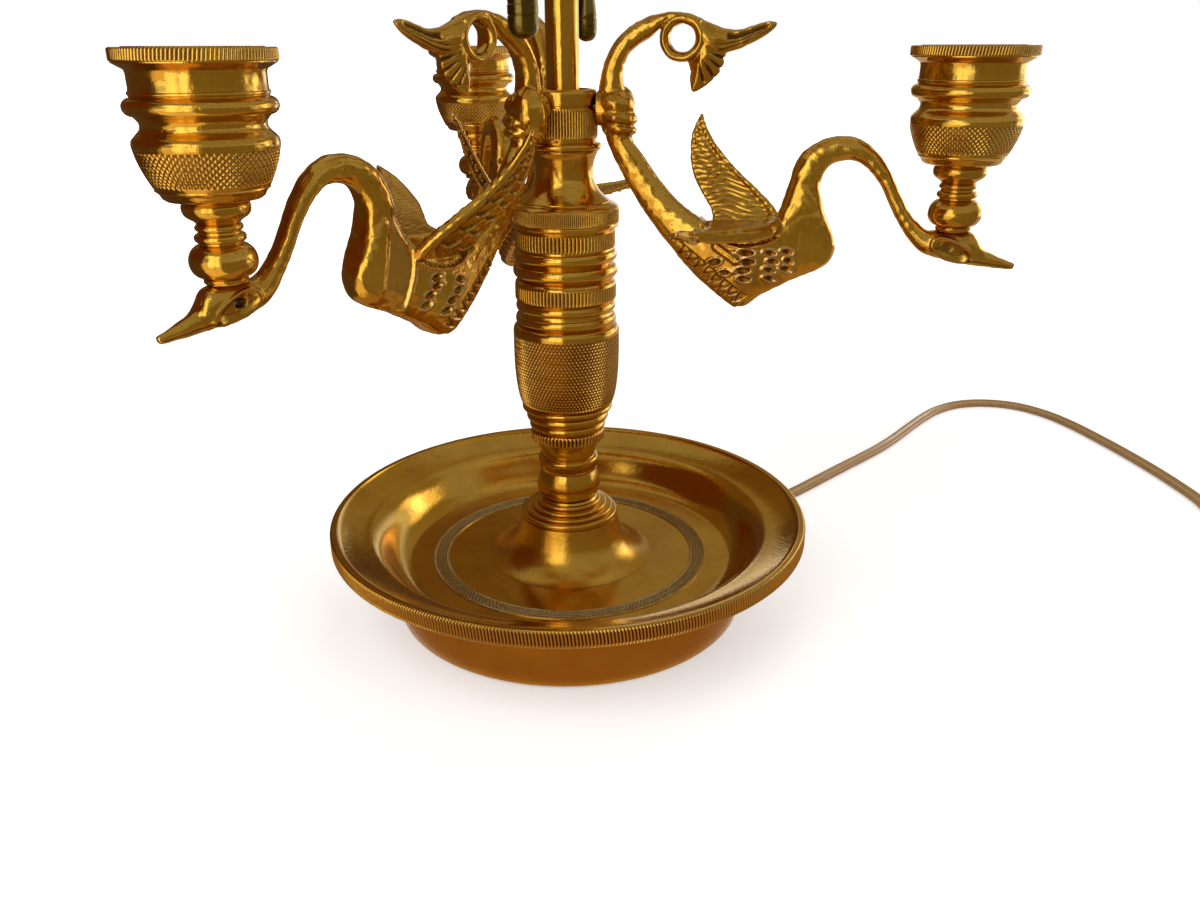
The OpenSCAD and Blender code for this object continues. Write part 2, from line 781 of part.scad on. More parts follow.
module cup() {
    b = 22;                   // height of the stem under the bowl
    w = cup_rim_r / 20;       // the bowl widens with its rim
    s = (cup_h - b) / 37;     // and its mouldings spread with its height
    lip_r = cup_rim_r - 3.1;
    difference() {
        turned(0) {
            square([5.4, b + 4]);
            polygon([[0, 0], [5.6, 0], [5.8, 1.6], [0, 1.6]]);
            bead(9, 5.8, 8.6);
            bead(6.6, 12.2, 2.4);
            bead(6.1, 14.8, 2);
            polygon([[0, 16.4], [6.4, 16.6], [8.4, 17.9], [8.8, 18.4], [8.8, 20.6], [8.2, 21.2],
                     [0, 21.4]]);
            polygon(concat(
                [[0, b - 0.8], [9 * w, b]],
                curve([9 * w, b], [13.4 * w, b + 1.8 * s], [14.8 * w, b + 5 * s],
                      [17.2 * w, b + 11 * s], 6),
                [[18 * w, b + 13.6 * s], [17.9 * w, b + 15.4 * s], [16.4 * w, b + 16.8 * s]],
                [[15.3 * w, b + 18.4 * s], [15.3 * w, b + 19.4 * s], [16.7 * w, b + 20.6 * s]],
                [[16.7 * w, b + 26.4 * s], [lip_r, b + 27.6 * s], [lip_r - 0.4, b + 29 * s]],
                [[lip_r, b + 30.6 * s], [lip_r + 0.8, b + 31.8 * s]],
                [[lip_r + 0.8, cup_h - cup_band_h], [lip_r, cup_h - cup_band_h]],
                [[lip_r, cup_h], [0, cup_h]]));
            bead(18.8 * w, b + 22.8 * s, 3.6);
            bead(17.5 * w, b + 26 * s, 2.2);
        }
        translate([0, 0, cup_h - candle_depth])
            cylinder(r = candle_r, h = candle_depth + 1);
        translate([0, 0, -1])
            cylinder(r = stud_r + 0.1, h = stud_above + 1.2);
    }
}

module placed_cup(i) {
    color(brass)
        at_arms([i])
            translate([cup_reach, 0, cup_z])
                cup();
}

module cup_left() { placed_cup(0); }
module cup_right() { placed_cup(1); }
module cup_rear() { placed_cup(2); }

module cup_rim_bands() {
    color(brass)
        at_arms([0, 1, 2])
            translate([cup_reach, 0, cup_z + cup_h - cup_band_h])
                milled(cup_rim_r, cup_band_h - 0.2, 72, 0.6, cup_rim_r - 3.08);
}

module cup_studs() {
    color(steel)
        at_arms([0, 1, 2])
            translate([cup_reach, 0, cup_z - stud_below])
                cylinder(r = stud_r, h = stud_below + stud_above);
}

// ---------------------------------------------------------------- cord

// The cord's middle line, from the bushing over the table to the coil.
cord_route = [
    [68.2, 62.5, 7], [74, 67, 6.4], [80.5, 72, 4.6], [88, 78, 2.4], [97, 85, 1.5],
    [109.2, 94.6, 1.5], [126, 111.5, 1.5], [143, 129, 1.5], [158, 144, 1.5],
    [172, 158.8, 1.5], [184.5, 174, 1.5], [197, 190.4, 1.5], [211, 208, 1.5],
    [224, 221.5, 1.5], [240, 231.5, 1.5], [258, 234, 1.5], [275, 228, 1.5],
    [287.5, 213.5, 1.5], [295.5, 194, 1.5], [301, 172, 1.5], [305.5, 150, 1.5],
    [309, 128, 1.5], [311.4, 106, 1.5], [312.2, 84, 1.5], [308, 62, 1.5],
    [301.8, 44, 1.5], [300.8, 30, 1.5]];

module cord_lead() {
    p = through(cord_route, 2);
    last = len(p) - 1;
    color(clear_gold)
        loft([for (i = [0 : last])
            let (d = p[min(i + 1, last)] - p[max(i - 1, 0)],
                 across = [d[1], -d[0], 0] / norm([d[0], d[1]]),
                 up = cross(across, d) / norm(cross(across, d)))
                [for (k = [0 : 7])
                    p[i] + cord_w / 2 * cos(k * 45) * across + cord_t / 2 * sin(k * 45) * up]]);
}

module cord_coil() {
    color(clear_gold)
        translate([coil_centre[0], coil_centre[1], 0.05])
            turned(coil_in)
                polygon([[0, 0], [coil_out - 0.8, 0], [coil_out, 0.8], [coil_out, cord_t],
                         [coil_out - 3, coil_h], [0, coil_h]]);
}

module cord_bushing() {
    color(clear_gold)
        rotate([0, 0, cord_angle])
            translate([drum_r, 0, cord_exit_z])
                rotate([0, 90, 0])
                    turned(0)
                        polygon([[0, -3.4], [bushing_r + 0.9, -3.4], [bushing_r + 0.9, -1.9],
                                 [bushing_r, -1.9], [bushing_r, 0.6], [bushing_r + 0.9, 0.6],
                                 [bushing_r + 0.9, 2], [3.4, bushing_len], [0, bushing_len]]);
}

plug_at = [372, -12];

module plug_body() {
    color(clear_gold)
        translate([plug_at[0], plug_at[1], 0.05])
            union() {
                translate([0, -12, 0])
                    linear_extrude(height = 16)
                        polygon([[0, 7], [4, 2], [10, 0], [32, 0], [32, 24], [10, 24], [4, 22],
                                 [0, 17]]);
                translate([-22, 0, 3])
                    rotate([0, 90, 0])
                        cylinder(r1 = 2.6, r2 = 2.9, h = 23);
            }
}

module plug_blades() {
    color(steel)
        for (s = [-1, 1])
            translate([plug_at[0] + 32, plug_at[1] + s * 6.35 - 0.75, 4.9])
                cube([17, 1.5, 6.3]);
}

// ---------------------------------------------------------------- socket cluster

module socket_cluster() {
    arm_z = cluster_z + 9;
    color(brass)
        difference() {
            union() {
                translate([0, 0, cluster_z])
                    turned(0) {
                        polygon([[0, 0], [cluster_r - 4, 0], [cluster_r - 1, 3.5],
                                 [cluster_r, 6.5], [cluster_r, 11.5], [cluster_r - 1, 14.5],
                                 [cluster_r - 4, cluster_h], [0, cluster_h]]);
                        bead(cluster_r - 3.2, 1.2, 2.4);
                        bead(cluster_r - 3.2, cluster_h - 1.2, 2.4);
                    }
                for (i = [0, 1])
                    at_socket(i) {
                        translate([0, 0, arm_z])
                            rotate([0, 90, 0])
                                cylinder(r = 4.5, h = socket_reach - 4);
                        translate([socket_reach, 0, cluster_z])
                            turned(0) {
                                polygon([[0, 0], [4, 0], [8.4, 5], [8.4, 13], [6, 16.5], [6, 20],
                                         [9, 23.5], [9, socket_z - cluster_z], [0, socket_z - cluster_z]]);
                                bead(9.2, 9, 4);
                            }
                    }
            }
            cylinder(r = rod_r + 0.05, h = far);
            rotate([0, 0, -cluster_turn])
                translate([rod_r - 0.75, 0, arm_z])
                    rotate([0, 90, 0])
                        cylinder(r = 1.6, h = cluster_r);
        }
}

module cluster_screw() {
    head_at = cluster_r - rod_r + 0.35;
    color(brass)
        rotate([0, 0, -cluster_turn])
            translate([rod_r + 0.1, 0, cluster_z + 9])
                rotate([0, 90, 0])
                    union() {
                        cylinder(r = 1.5, h = head_at + 2);
                        translate([0, 0, head_at])
                            cylinder(r = 3.4, h = 4);
                    }
}

module socket_cap(i) {
    seat = cap_h - 2.05;      // the shell stands in the cap's rim
    color(brass)
        at_socket(i)
            translate([socket_reach, 0, socket_z])
                turned(0)
                    polygon(concat(
                        [[0, 0], [9, 0]],
                        curve([9, 0], [14, 1], [socket_r + 0.6, 6], [socket_r + 0.6, cap_h - 2], 6),
                        [[socket_r + 0.6, cap_h], [socket_r, cap_h], [socket_r, seat]],
                        [[0, seat]]));
}

module socket_cap_front() { socket_cap(0); }
module socket_cap_rear() { socket_cap(1); }

// The shell with its chain spout. The spout turns down into a bell mouth that the chain hangs from.
module socket_shell(i) {
    inner = socket_r - shell_wall;
    mouth_r = 3.4;
    mouth_drop = pull_travel - 1;  // the chain's end stays in the mouth when it is pulled
    color(brass)
        at_socket(i)
            difference() {
                union() {
                    translate([socket_reach, 0, shell_z])
                        turned(inner) {
                            square([socket_r, shell_h]);
                            bead(socket_r + 0.5, 4, 1.6);
                            bead(socket_r + 0.5, shell_h - 1, 2);
                        }
                    translate([socket_reach + inner + 0.2, 0, spout_z])
                        rotate([0, 90, 0])
                            cylinder(r = 2.6, h = pull_x - socket_reach - inner - 1.5);
                    translate([pull_x, 0, spout_z])
                        turned(0)
                            polygon([[0, -mouth_drop], [mouth_r + 0.4, -mouth_drop],
                                     [mouth_r - 0.6, 3 - mouth_drop], [mouth_r - 0.6, 2.4],
                                     [mouth_r - 1, 4.6], [0, 4.6]]);
                }
                translate([pull_x, 0, spout_z - mouth_drop - 1])
                    cylinder(r = ball_r + 0.4, h = mouth_drop + 3.6);
            }
}

module socket_shell_front() { socket_shell(0); }
module socket_shell_rear() { socket_shell(1); }

// The porcelain body that holds the switch and the bulb's screw.
module socket_core(i) {
    color(porcelain)
        at_socket(i)
            translate([socket_reach, 0, shell_z])
                turned(0)
                    polygon([[0, 0], [socket_r - shell_wall - fit, 0],
                             [socket_r - shell_wall - fit, shell_h - 4],
                             [screw_r + run, shell_h - 4], [screw_r + run, bulb_z - shell_z - run],
                             [0, bulb_z - shell_z - run]]);
}

module socket_core_front() { socket_core(0); }
module socket_core_rear() { socket_core(1); }

// A string of small balls, each one touching a thin link.
module pull_chain(i) {
    pitch = 3.6;
    count = floor((chain_len - 2 * ball_r) / pitch);
    color(brass)
        at_socket(i)
            translate([pull_x, 0, chain_z])
                turned(0) {
                    square([0.45, chain_len]);
                    for (k = [0 : count])
                        translate([0, ball_r + k * pitch])
                            circle(r = ball_r);
                }
}

module pull_chain_front() { pull_chain(0); }
module pull_chain_rear() { pull_chain(1); }

// A long bell: a capped top, two grooves and a rounded foot.
module bell_pull(i) {
    color(bronze)
        at_socket(i)
            translate([pull_x, 0, pull_z])
                turned(0)
                    difference() {
                        polygon(concat(
                            [[0, 0], [2.6, 0]],
                            curve([2.6, 0], [3.8, 0.2], [pull_r, 0.9], [pull_r, 2.2], 4),
                            [[pull_r, 4.4], [pull_r - 0.2, 5.4], [pull_r, 6.2], [pull_r - 0.1, 8.6]],
                            [[pull_r - 0.4, 12], [pull_r - 1, 17], [pull_r - 1.2, 19.5]],
                            [[pull_r - 0.4, 20], [pull_r - 0.4, 21.4], [2, pull_h - 1.2]],
                            [[1.6, pull_h - 0.05], [0, pull_h - 0.05]]));
                        for (z = [5, 8.9])
                            translate([pull_r, z])
                                circle(r = 0.45);
                    }
}

module bell_pull_front() { bell_pull(0); }
module bell_pull_rear() { bell_pull(1); }

module bulb_base(i) {
    color(steel)
        at_socket(i)
            translate([socket_reach, 0, bulb_z])
                turned(0)
                    polygon([[0, 0], [4, 0], [6, 2], [screw_r - 1, 4.5], [screw_r, 5.5],
                             [screw_r, bulb_base_h], [0, bulb_base_h]]);
}

module bulb_base_front() { bulb_base(0); }
module bulb_base_rear() { bulb_base(1); }

// Half section of the blown glass: a neck, a pear's side and a round top.
module bulb_outline(wall) {
    neck = bulb_neck_r - wall;
    r = bulb_r - wall;
    top = glass_h - wall;
    polygon(concat(
        [[0, -wall], [neck, -wall], [neck, 0]],
        curve([neck, 0], [neck, 14], [r, 20], [r, 40], 9),
        curve([r, 40], [r, top - 10], [r * 0.54, top], [0, top], 9)));
}

module bulb_glass(i) {
    color(frosted)
        at_socket(i)
            translate([socket_reach, 0, bulb_z + bulb_base_h])
                turned(0)
                    difference() {
                        bulb_outline(0);
                        bulb_outline(1);
                    }
}

module bulb_glass_front() { bulb_glass(0); }
module bulb_glass_rear() { bulb_glass(1); }

// ---------------------------------------------------------------- shade

function shade_at(z) = between(shade_r, shade_top_r, z / shade_h);

module shade_shell() {
    wire = 2.4;
    color(tole)
        translate([0, 0, shade_z])
            turned(0) {
                polygon([[shade_at(0), 0], [shade_at(shade_h), shade_h],
                         [shade_at(shade_h) - shade_t, shade_h], [shade_at(0) - shade_t, 0]]);
                translate([shade_at(0) - shade_t / 2, wire / 2])
                    circle(d = wire);
                translate([shade_at(shade_h) - shade_t / 2, shade_h - wire / 2])
                    circle(d = wire);
            }
}

// A hub ring, four spokes and the hoop that the shade is soldered to.
module shade_spider() {
    slope = atan((shade_r - shade_top_r) / shade_h);
    hoop_r = shade_at(spoke_z - shade_z) - shade_t - (hoop_d / 2 + fit) / cos(slope);
    ring_r = carrier_r + 5;
    color(brass)
        union() {
            translate([0, 0, spider_z - 3])
                difference() {
                    cylinder(r = ring_r, h = 7);
                    translate([0, 0, -1])
                        cylinder(r = carrier_r + run, h = 9);
                }
            for (a = [0 : 90 : 270])
                rotate([0, 0, a])
                    translate([ring_r - 1.5, 0, spoke_z])
                        rotate([0, 90, 0])
                            cylinder(d = spoke_d, h = hoop_r - ring_r + 1.5);
            translate([0, 0, spoke_z])
                turned(0)
                    translate([hoop_r, 0])
                        circle(d = hoop_d);
        }
}

// The sleeve that slides on the rod, with the flange that the spider turns on.
module shade_carrier() {
    color(brass)
        difference() {
            union() {
                translate([0, 0, carrier_z])
                    turned(0)
                        polygon([[0, 0], [carrier_r - 1, 0], [carrier_r, 1],
                                 [carrier_r, carrier_h - 1], [carrier_r - 1, carrier_h],
                                 [0, carrier_h]]);
                translate([0, 0, flange_z - 2.6])
                    cylinder(r = carrier_r + 4, h = 2.6);
                translate([0, 0, key_z])
                    rotate([0, 90, 0])
                        cylinder(r = 4.6, h = key_seat);
            }
            translate([0, 0, carrier_z - 1])
                cylinder(r = rod_r + 0.08, h = carrier_h + 2);
            translate([rod_r - 2, 0, key_z])
                rotate([0, 90, 0])
                    cylinder(r = key_r + 0.05, h = key_seat);
        }
}

module carrier_nut() {
    color(brass)
        translate([0, 0, nut_ring_z])
            milled(carrier_r + 4, 3.6, 48, 0.6, carrier_r + 0.05);
}

// A thumb key: a screw with a two-lobed bow.
module thumb_key() {
    color(brass)
        translate([0, 0, key_z])
            union() {
                translate([rod_r + run, 0, 0])
                    rotate([0, 90, 0])
                        cylinder(r = key_r, h = key_seat + 8 - rod_r - run);
                translate([key_seat + 0.8, 0, 0])
                    rotate([0, 90, 0])
                        cylinder(r = 3.4, h = 4);
                translate([key_seat + 13, 1.2, 0])
                    rotate([90, 0, 0])
                        linear_extrude(height = 2.4)
                            difference() {
                                union() {
                                    translate([-8, -2])
                                        square([8, 4]);
                                    for (s = [-1, 1])
                                        translate([0, s * 6])
                                            circle(r = 6.6);
                                }
                                for (s = [-1, 1])
                                    translate([0.4, s * 6.3])
                                        circle(r = 3.8);
                            }
            }
}

module finial() {
    color(brass)
        translate([0, 0, rod_top])
            union() {
                translate([0, 0, -8])
                    cylinder(r = rod_bore_r - 0.05, h = 9);
                turned(0) {
                    polygon([[0, 0], [8, 0], [8.4, 1.2], [8, 3], [5, 4.6], [3.6, 7.6], [3.6, 9],
                             [0, 9]]);
                    bead(9, 1.8, 2.8);
                    bead(5, 8.6, 2.2);
                    bead(9.4, 17, 15.4);
                    square([2.2, 17]);
                    polygon(concat([[0, 22], [4.4, 23.4]],
                                   curve([4.4, 23.4], [3, 26], [2.6, 28], [0, 31], 5)));
                }
            }
}

base_felt();
base_weight();
base_washer();
base_nut();
base_drum();
dish();
dish_rim_band();
dish_floor_ring();
foot();
knop();
cove();
stem();
barrel();
lower_rings();
lower_band();
upper_rings();
upper_band();
collar();
neck();
arm_hub();
tie_pipe();
column_rod();
arm_left();
arm_right();
arm_rear();
arm_screws();
cup_left();
cup_right();
cup_rear();
cup_rim_bands();
cup_studs();
cord_bushing();
cord_lead();
cord_coil();
plug_body();
plug_blades();
socket_cluster();
cluster_screw();
socket_cap_front();
socket_cap_rear();
socket_shell_front();
socket_shell_rear();
socket_core_front();
socket_core_rear();
pull_chain_front();
pull_chain_rear();
bell_pull_front();
bell_pull_rear();
bulb_base_front();
bulb_base_rear();
bulb_glass_front();
bulb_glass_rear();
shade_shell();
shade_spider();
shade_carrier();
carrier_nut();
thumb_key();
finial();
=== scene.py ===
"""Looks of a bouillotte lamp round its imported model. Shapes are drawn in millimetres."""
import math

import bpy
import numpy as np
from mathutils import Matrix, Vector


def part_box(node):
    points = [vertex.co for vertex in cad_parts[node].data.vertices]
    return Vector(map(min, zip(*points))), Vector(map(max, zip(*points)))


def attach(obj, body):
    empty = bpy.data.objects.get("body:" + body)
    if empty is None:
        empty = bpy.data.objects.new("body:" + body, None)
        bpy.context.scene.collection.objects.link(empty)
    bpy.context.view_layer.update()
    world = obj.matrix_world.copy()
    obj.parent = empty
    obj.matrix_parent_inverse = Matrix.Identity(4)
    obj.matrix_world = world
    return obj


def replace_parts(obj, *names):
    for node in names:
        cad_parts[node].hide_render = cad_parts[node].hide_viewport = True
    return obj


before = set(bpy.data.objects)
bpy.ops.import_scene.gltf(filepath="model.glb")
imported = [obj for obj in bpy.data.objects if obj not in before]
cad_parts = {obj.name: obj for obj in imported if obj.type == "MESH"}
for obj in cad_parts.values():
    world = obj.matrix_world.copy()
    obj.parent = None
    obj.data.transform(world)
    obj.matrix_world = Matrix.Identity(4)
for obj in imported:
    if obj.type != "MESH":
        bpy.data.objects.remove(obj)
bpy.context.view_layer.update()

MM = 0.001
TAU = 2 * math.pi

# ---------------------------------------------------------------- camera

PHOTO_WIDTH = 1200
FOCAL_PIXELS = 1006.6
CAMERA_AT = (12.67, -371.77, 213.78)
CAMERA_DOWN = 21.87
CAMERA_ROLL = 0.13
SENSOR_WIDTH = 36
CLIP_START = 0.01


def make_camera():
    data = bpy.data.cameras.new("camera")
    data.sensor_width = SENSOR_WIDTH
    data.lens = FOCAL_PIXELS * SENSOR_WIDTH / PHOTO_WIDTH
    data.clip_start = CLIP_START
    camera = bpy.data.objects.new("camera", data)
    bpy.context.scene.collection.objects.link(camera)
    camera.location = Vector(CAMERA_AT) * MM
    tilt = Matrix.Rotation(math.radians(90 - CAMERA_DOWN), 4, "X")
    roll = Matrix.Rotation(math.radians(-CAMERA_ROLL), 4, "Z")
    camera.rotation_euler = (tilt @ roll).to_euler()
    bpy.context.scene.camera = camera


make_camera()

# ---------------------------------------------------------------- shaders

class Shader:
    """The node tree of a material or world, with short calls to build it."""

    def __init__(self, name, kind="materials"):
        self.made = getattr(bpy.data, kind).new(name)
        self.made.use_nodes = True
        self.nodes = self.made.node_tree.nodes
        self.links = self.made.node_tree.links

    def feed(self, socket, value):
        """Links a socket to another one, or gives it a value."""
        if isinstance(value, bpy.types.NodeSocket):
            self.links.new(value, socket)
        else:
            socket.default_value = value

    def node(self, kind, output, *inputs, **settings):
        """An output of a new node. `inputs` holds pairs of an input and what it is fed."""
        made = self.nodes.new("ShaderNode" + kind)
        for key, value in settings.items():
            setattr(made, key, value)
        for key, value in inputs:
            self.feed(made.inputs[key], value)
        return made.outputs[output]

    def set(self, **values):
        for key, value in values.items():
            self.feed(self.nodes["Principled BSDF"].inputs[key.replace("_", " ")], value)

    def place(self):
        return self.node("TexCoord", "Object")

    def attribute(self, name, output="Fac"):
        return self.node("Attribute", output, attribute_name=name)

    def ray(self, kind):
        return self.node("LightPath", "Is " + kind + " Ray")

    def scaled(self, vector, scale):
        return self.node("VectorMath", 0, (0, vector), (1, scale), operation="MULTIPLY")

    def noise(self, vector, scale, detail=3, rough=0.5):
        return self.node("TexNoise", "Fac", ("Vector", vector), ("Scale", scale),
                         ("Detail", detail), ("Roughness", rough))

    def ramp(self, factor, low, high, start=0.0, end=1.0):
        return self.node("MapRange", "Result", ("Value", factor), ("From Min", low),
                         ("From Max", high), ("To Min", start), ("To Max", end), clamp=True)

    def math(self, operation, a, b):
        return self.node("Math", 0, (0, a), (1, b), operation=operation)

    def mix(self, factor, a, b):
        return self.node("Mix", "Result", ("Factor", factor), ("A", a), ("B", b),
                         data_type="RGBA")

    def bump(self, height, distance, *under):
        """A bumped normal, on top of the one in `under` if there is one."""
        return self.node("Bump", "Normal", ("Height", height), ("Distance", distance),
                         ("Strength", 1.0), *(("Normal", normal) for normal in under))


def rgb(red, green, blue):
    return (red, green, blue, 1)


TARNISH = rgb(0.20, 0.085, 0.016)
SPECK = rgb(0.07, 0.028, 0.008)
HOLLOW_SHADE_AND_PATINA = rgb(0.085, 0.03, 0.007)
PALE_SHEEN_AND_WEAR = rgb(0.72, 0.50, 0.27)


def brass(name, amber, gold, rough, spread, pits=0.5, brushed=0.0):
    """Lacquered brass: amber to gold in patches, darker brown in its grooves (painted shade with
    some patina), pitted and tarnished.

    Where its groove value is below 0 it is paler: a painted highlight with some wear."""
    s = Shader(name)
    place = s.place()
    groove = s.attribute("groove")
    satin = s.attribute("satin")
    patches = s.ramp(s.noise(place, 38, 4, 0.6), 0.35, 0.65)
    colour = s.mix(patches, amber, gold)
    tarnish = s.ramp(s.noise(place, 120, 5, 0.7), 0.58, 0.72, 0, 0.55 * pits)
    colour = s.mix(tarnish, colour, TARNISH)
    specks = s.ramp(s.noise(place, 900, 2), 0.68, 0.76, 0, pits)
    colour = s.mix(specks, colour, SPECK)
    # Painted shade with some patina: darker brown the deeper the groove value.
    dark = s.ramp(groove, 0.15, 1.0, 0, 0.94)
    colour = s.mix(dark, colour, HOLLOW_SHADE_AND_PATINA)
    # Painted highlight with some wear: paler where the groove value is below 0.
    colour = s.mix(s.ramp(groove, 0.0, -1.0, 0, 0.8), colour, PALE_SHEEN_AND_WEAR)
    wear = s.ramp(s.noise(place, 160, 6, 0.7), 0.3, 0.75, rough, rough + spread)
    wear = s.math("ADD", wear, s.ramp(satin, 0, 1, 0, 0.26))
    wear = s.math("ADD", wear, s.ramp(dark, 0, 1, 0, 0.25))
    lines = s.noise(s.scaled(s.attribute("turned", "Vector"), (2.0, 2.0, 9000.0)), 1.0, 2, 0.8)
    shallow = s.math("MULTIPLY", lines, s.ramp(satin, 0, 1, brushed, 1))
    dents = s.bump(s.noise(place, 520, 4, 0.65), 0.00006 * (1 + pits))
    pitted = s.bump(specks, -0.00012, dents)
    brushing = s.bump(shallow, 0.00004, pitted)
    s.set(Base_Color=colour, Metallic=1.0, Roughness=wear, Normal=brushing)
    s.set(Coat_Weight=0.25, Coat_Roughness=0.12, Coat_IOR=1.5)
    return s.made


AMBER = rgb(0.64, 0.35, 0.042)
GOLD = rgb(0.76, 0.46, 0.07)
POLISHED = brass("brass_polished", AMBER, GOLD, 0.09, 0.10, pits=0.35)
CAST = brass("brass_cast", rgb(0.60, 0.32, 0.036), rgb(0.78, 0.48, 0.072), 0.11, 0.12, pits=0.8)
# The drum's brushed satin lacquer. Its base is darker and deeper than the polished brass, partly
# as painted shade for the drum under the dish's rim.
SATIN_SHADED = brass("brass_satin_shaded", rgb(0.52, 0.23, 0.022), rgb(0.58, 0.27, 0.03), 0.3, 0.06,
              pits=0.1, brushed=1.0)
BRONZE = brass("bronze_dark", rgb(0.10, 0.07, 0.012), rgb(0.17, 0.125, 0.024), 0.16, 0.10,
               pits=0.3)


def oxidised(name):
    """The dark stippled ring: grey metal with worn bright points."""
    s = Shader(name)
    groove = s.attribute("groove")
    colour = s.mix(s.ramp(groove, 0.1, 0.9), rgb(0.66, 0.50, 0.23), rgb(0.03, 0.018, 0.008))
    colour = s.mix(s.ramp(s.noise(s.place(), 300, 4), 0.4, 0.7, 0, 0.4), colour,
                   rgb(0.16, 0.12, 0.07))
    s.set(Base_Color=colour, Metallic=1.0, Roughness=s.ramp(groove, 0, 1, 0.22, 0.6))
    return s.made


OXIDISED = oxidised("brass_oxidised")


def plated(name, colour, rough, dirt):
    """Plain plated or cast metal with a fine grain."""
    s = Shader(name)
    grain = s.noise(s.place(), 700, 4, 0.6)
    s.set(Base_Color=s.mix(s.ramp(grain, 0.35, 0.75, 0, dirt), colour, rgb(0.10, 0.09, 0.08)),
          Metallic=1.0, Roughness=s.ramp(grain, 0.3, 0.7, rough, rough + 0.18),
          Normal=s.bump(grain, 0.00004))
    return s.made


STEEL = plated("steel_plated", rgb(0.52, 0.51, 0.49), 0.26, 0.35)
IRON = plated("iron_cast", rgb(0.13, 0.125, 0.12), 0.62, 0.6)


def felt(name):
    s = Shader(name)
    fibres = s.noise(s.place(), 1800, 6, 0.8)
    s.set(Base_Color=s.mix(s.ramp(fibres, 0.35, 0.7), rgb(0.008, 0.035, 0.014),
                           rgb(0.02, 0.075, 0.032)),
          Roughness=0.95, Sheen_Weight=0.5, Sheen_Roughness=0.5,
          Normal=s.bump(fibres, 0.0003))
    return s.made


FELT = felt("felt_green")


def porcelain(name):
    s = Shader(name)
    mottle = s.ramp(s.noise(s.place(), 90, 3), 0.35, 0.7)
    s.set(Base_Color=s.mix(mottle, rgb(0.82, 0.80, 0.74), rgb(0.88, 0.87, 0.82)),
          Roughness=0.16, Coat_Weight=0.6, Coat_Roughness=0.05,
          Normal=s.bump(s.noise(s.place(), 400, 2), 0.00002))
    return s.made


PORCELAIN = porcelain("porcelain_glazed")


def enamel(name, deep, light, rough):
    """Enamel paint on sheet metal: cream inside (satin), gilt lines and rims (groove)."""
    s = Shader(name)
    place = s.place()
    tone = s.ramp(s.noise(place, 14, 5, 0.6), 0.35, 0.65)
    peel = s.noise(place, 750, 3)
    within = s.attribute("satin")
    gilt = s.ramp(s.attribute("groove"), 0.3, 0.7)
    marks = s.noise(s.scaled(s.attribute("turned", "Vector"), (3.0, 3.0, 700.0)), 1.0, 3)
    cream = s.mix(tone, rgb(0.70, 0.66, 0.55), rgb(0.77, 0.73, 0.63))
    colour = s.mix(within, s.mix(tone, deep, light), cream)
    wear_and_sheen = s.mix(tone, rgb(0.52, 0.33, 0.07), rgb(0.66, 0.45, 0.12))
    s.set(Base_Color=s.mix(gilt, colour, wear_and_sheen), Metallic=s.ramp(gilt, 0, 1, 0, 0.85),
          Roughness=s.ramp(peel, 0.3, 0.7, rough, rough + 0.12),
          Coat_Weight=0.35, Coat_Roughness=0.2,
          Normal=s.bump(marks, 0.00006, s.bump(peel, 0.00005)))
    return s.made


TOLE = enamel("enamel_tole", rgb(0.006, 0.028, 0.016), rgb(0.010, 0.042, 0.025), 0.28)


def frosted_glass(name):
    s = Shader(name)
    frost = s.noise(s.place(), 1400, 3)
    s.set(Base_Color=s.mix(s.ramp(frost, 0.3, 0.7), rgb(0.93, 0.92, 0.89), rgb(0.97, 0.96, 0.93)),
          Roughness=s.ramp(frost, 0.3, 0.7, 0.3, 0.42), IOR=1.45, Transmission_Weight=0.45,
          Normal=s.bump(frost, 0.00001))
    return s.made


FROSTED = frosted_glass("glass_frosted")


def gold_vinyl(name):
    """Gold-tinted vinyl: copper shows through over each core, a paler web lies between them."""
    s = Shader(name)
    strands = s.noise(s.scaled(s.attribute("turned", "Vector"), (9.0, 9.0, 260.0)), 1.0, 3)
    copper = s.mix(s.ramp(strands, 0.3, 0.7), rgb(0.26, 0.125, 0.04), rgb(0.42, 0.23, 0.09))
    colour = s.mix(s.attribute("groove"), copper, rgb(0.50, 0.37, 0.17))
    s.set(Base_Color=colour, Roughness=0.22, IOR=1.45, Coat_Weight=0.4, Coat_Roughness=0.1,
          Normal=s.bump(s.noise(s.place(), 500, 2), 0.00003))
    return s.made


VINYL = gold_vinyl("vinyl_gold")

# ---------------------------------------------------------------- meshes

def span(node):
    """A node's bottom, top and largest radius, in millimetres."""
    low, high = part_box(node)
    return low.z / MM, high.z / MM, (high.x - low.x) / 2 / MM


def centre(node):
    low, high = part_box(node)
    return (low.x + high.x) / 2 / MM, (low.y + high.y) / 2 / MM


def raised(line, z0):
    """An outline lifted to the height `z0`."""
    return [(p[0], z0 + p[1]) for p in line]


def piece(name, points, faces, material, body="stand", nodes=(), crease=38, **values):
    """A piece of the lamp from points in millimetres, with named values at its points."""
    mesh = bpy.data.meshes.new(name)
    mesh.from_pydata((np.asarray(points) * MM).tolist(), [], faces)
    for key, value in values.items():
        value = np.asarray(value, float)
        kind = "FLOAT_VECTOR" if value.ndim == 2 else "FLOAT"
        layer = mesh.attributes.new(key, kind, "POINT")
        layer.data.foreach_set("vector" if value.ndim == 2 else "value", value.ravel())
    mesh.materials.append(material)
    mesh.shade_smooth()
    mesh.set_sharp_from_angle(angle=math.radians(crease))
    made = bpy.data.objects.new(name, mesh)
    bpy.context.scene.collection.objects.link(made)
    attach(made, body)
    if nodes:
        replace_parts(made, *nodes)
    return made


def joined(name, made):
    """Several pieces as one object, which keeps the first one's name, body and slot."""
    with bpy.context.temp_override(active_object=made[0], selected_editable_objects=made):
        bpy.ops.object.join()
    made[0].name = name
    return made[0]


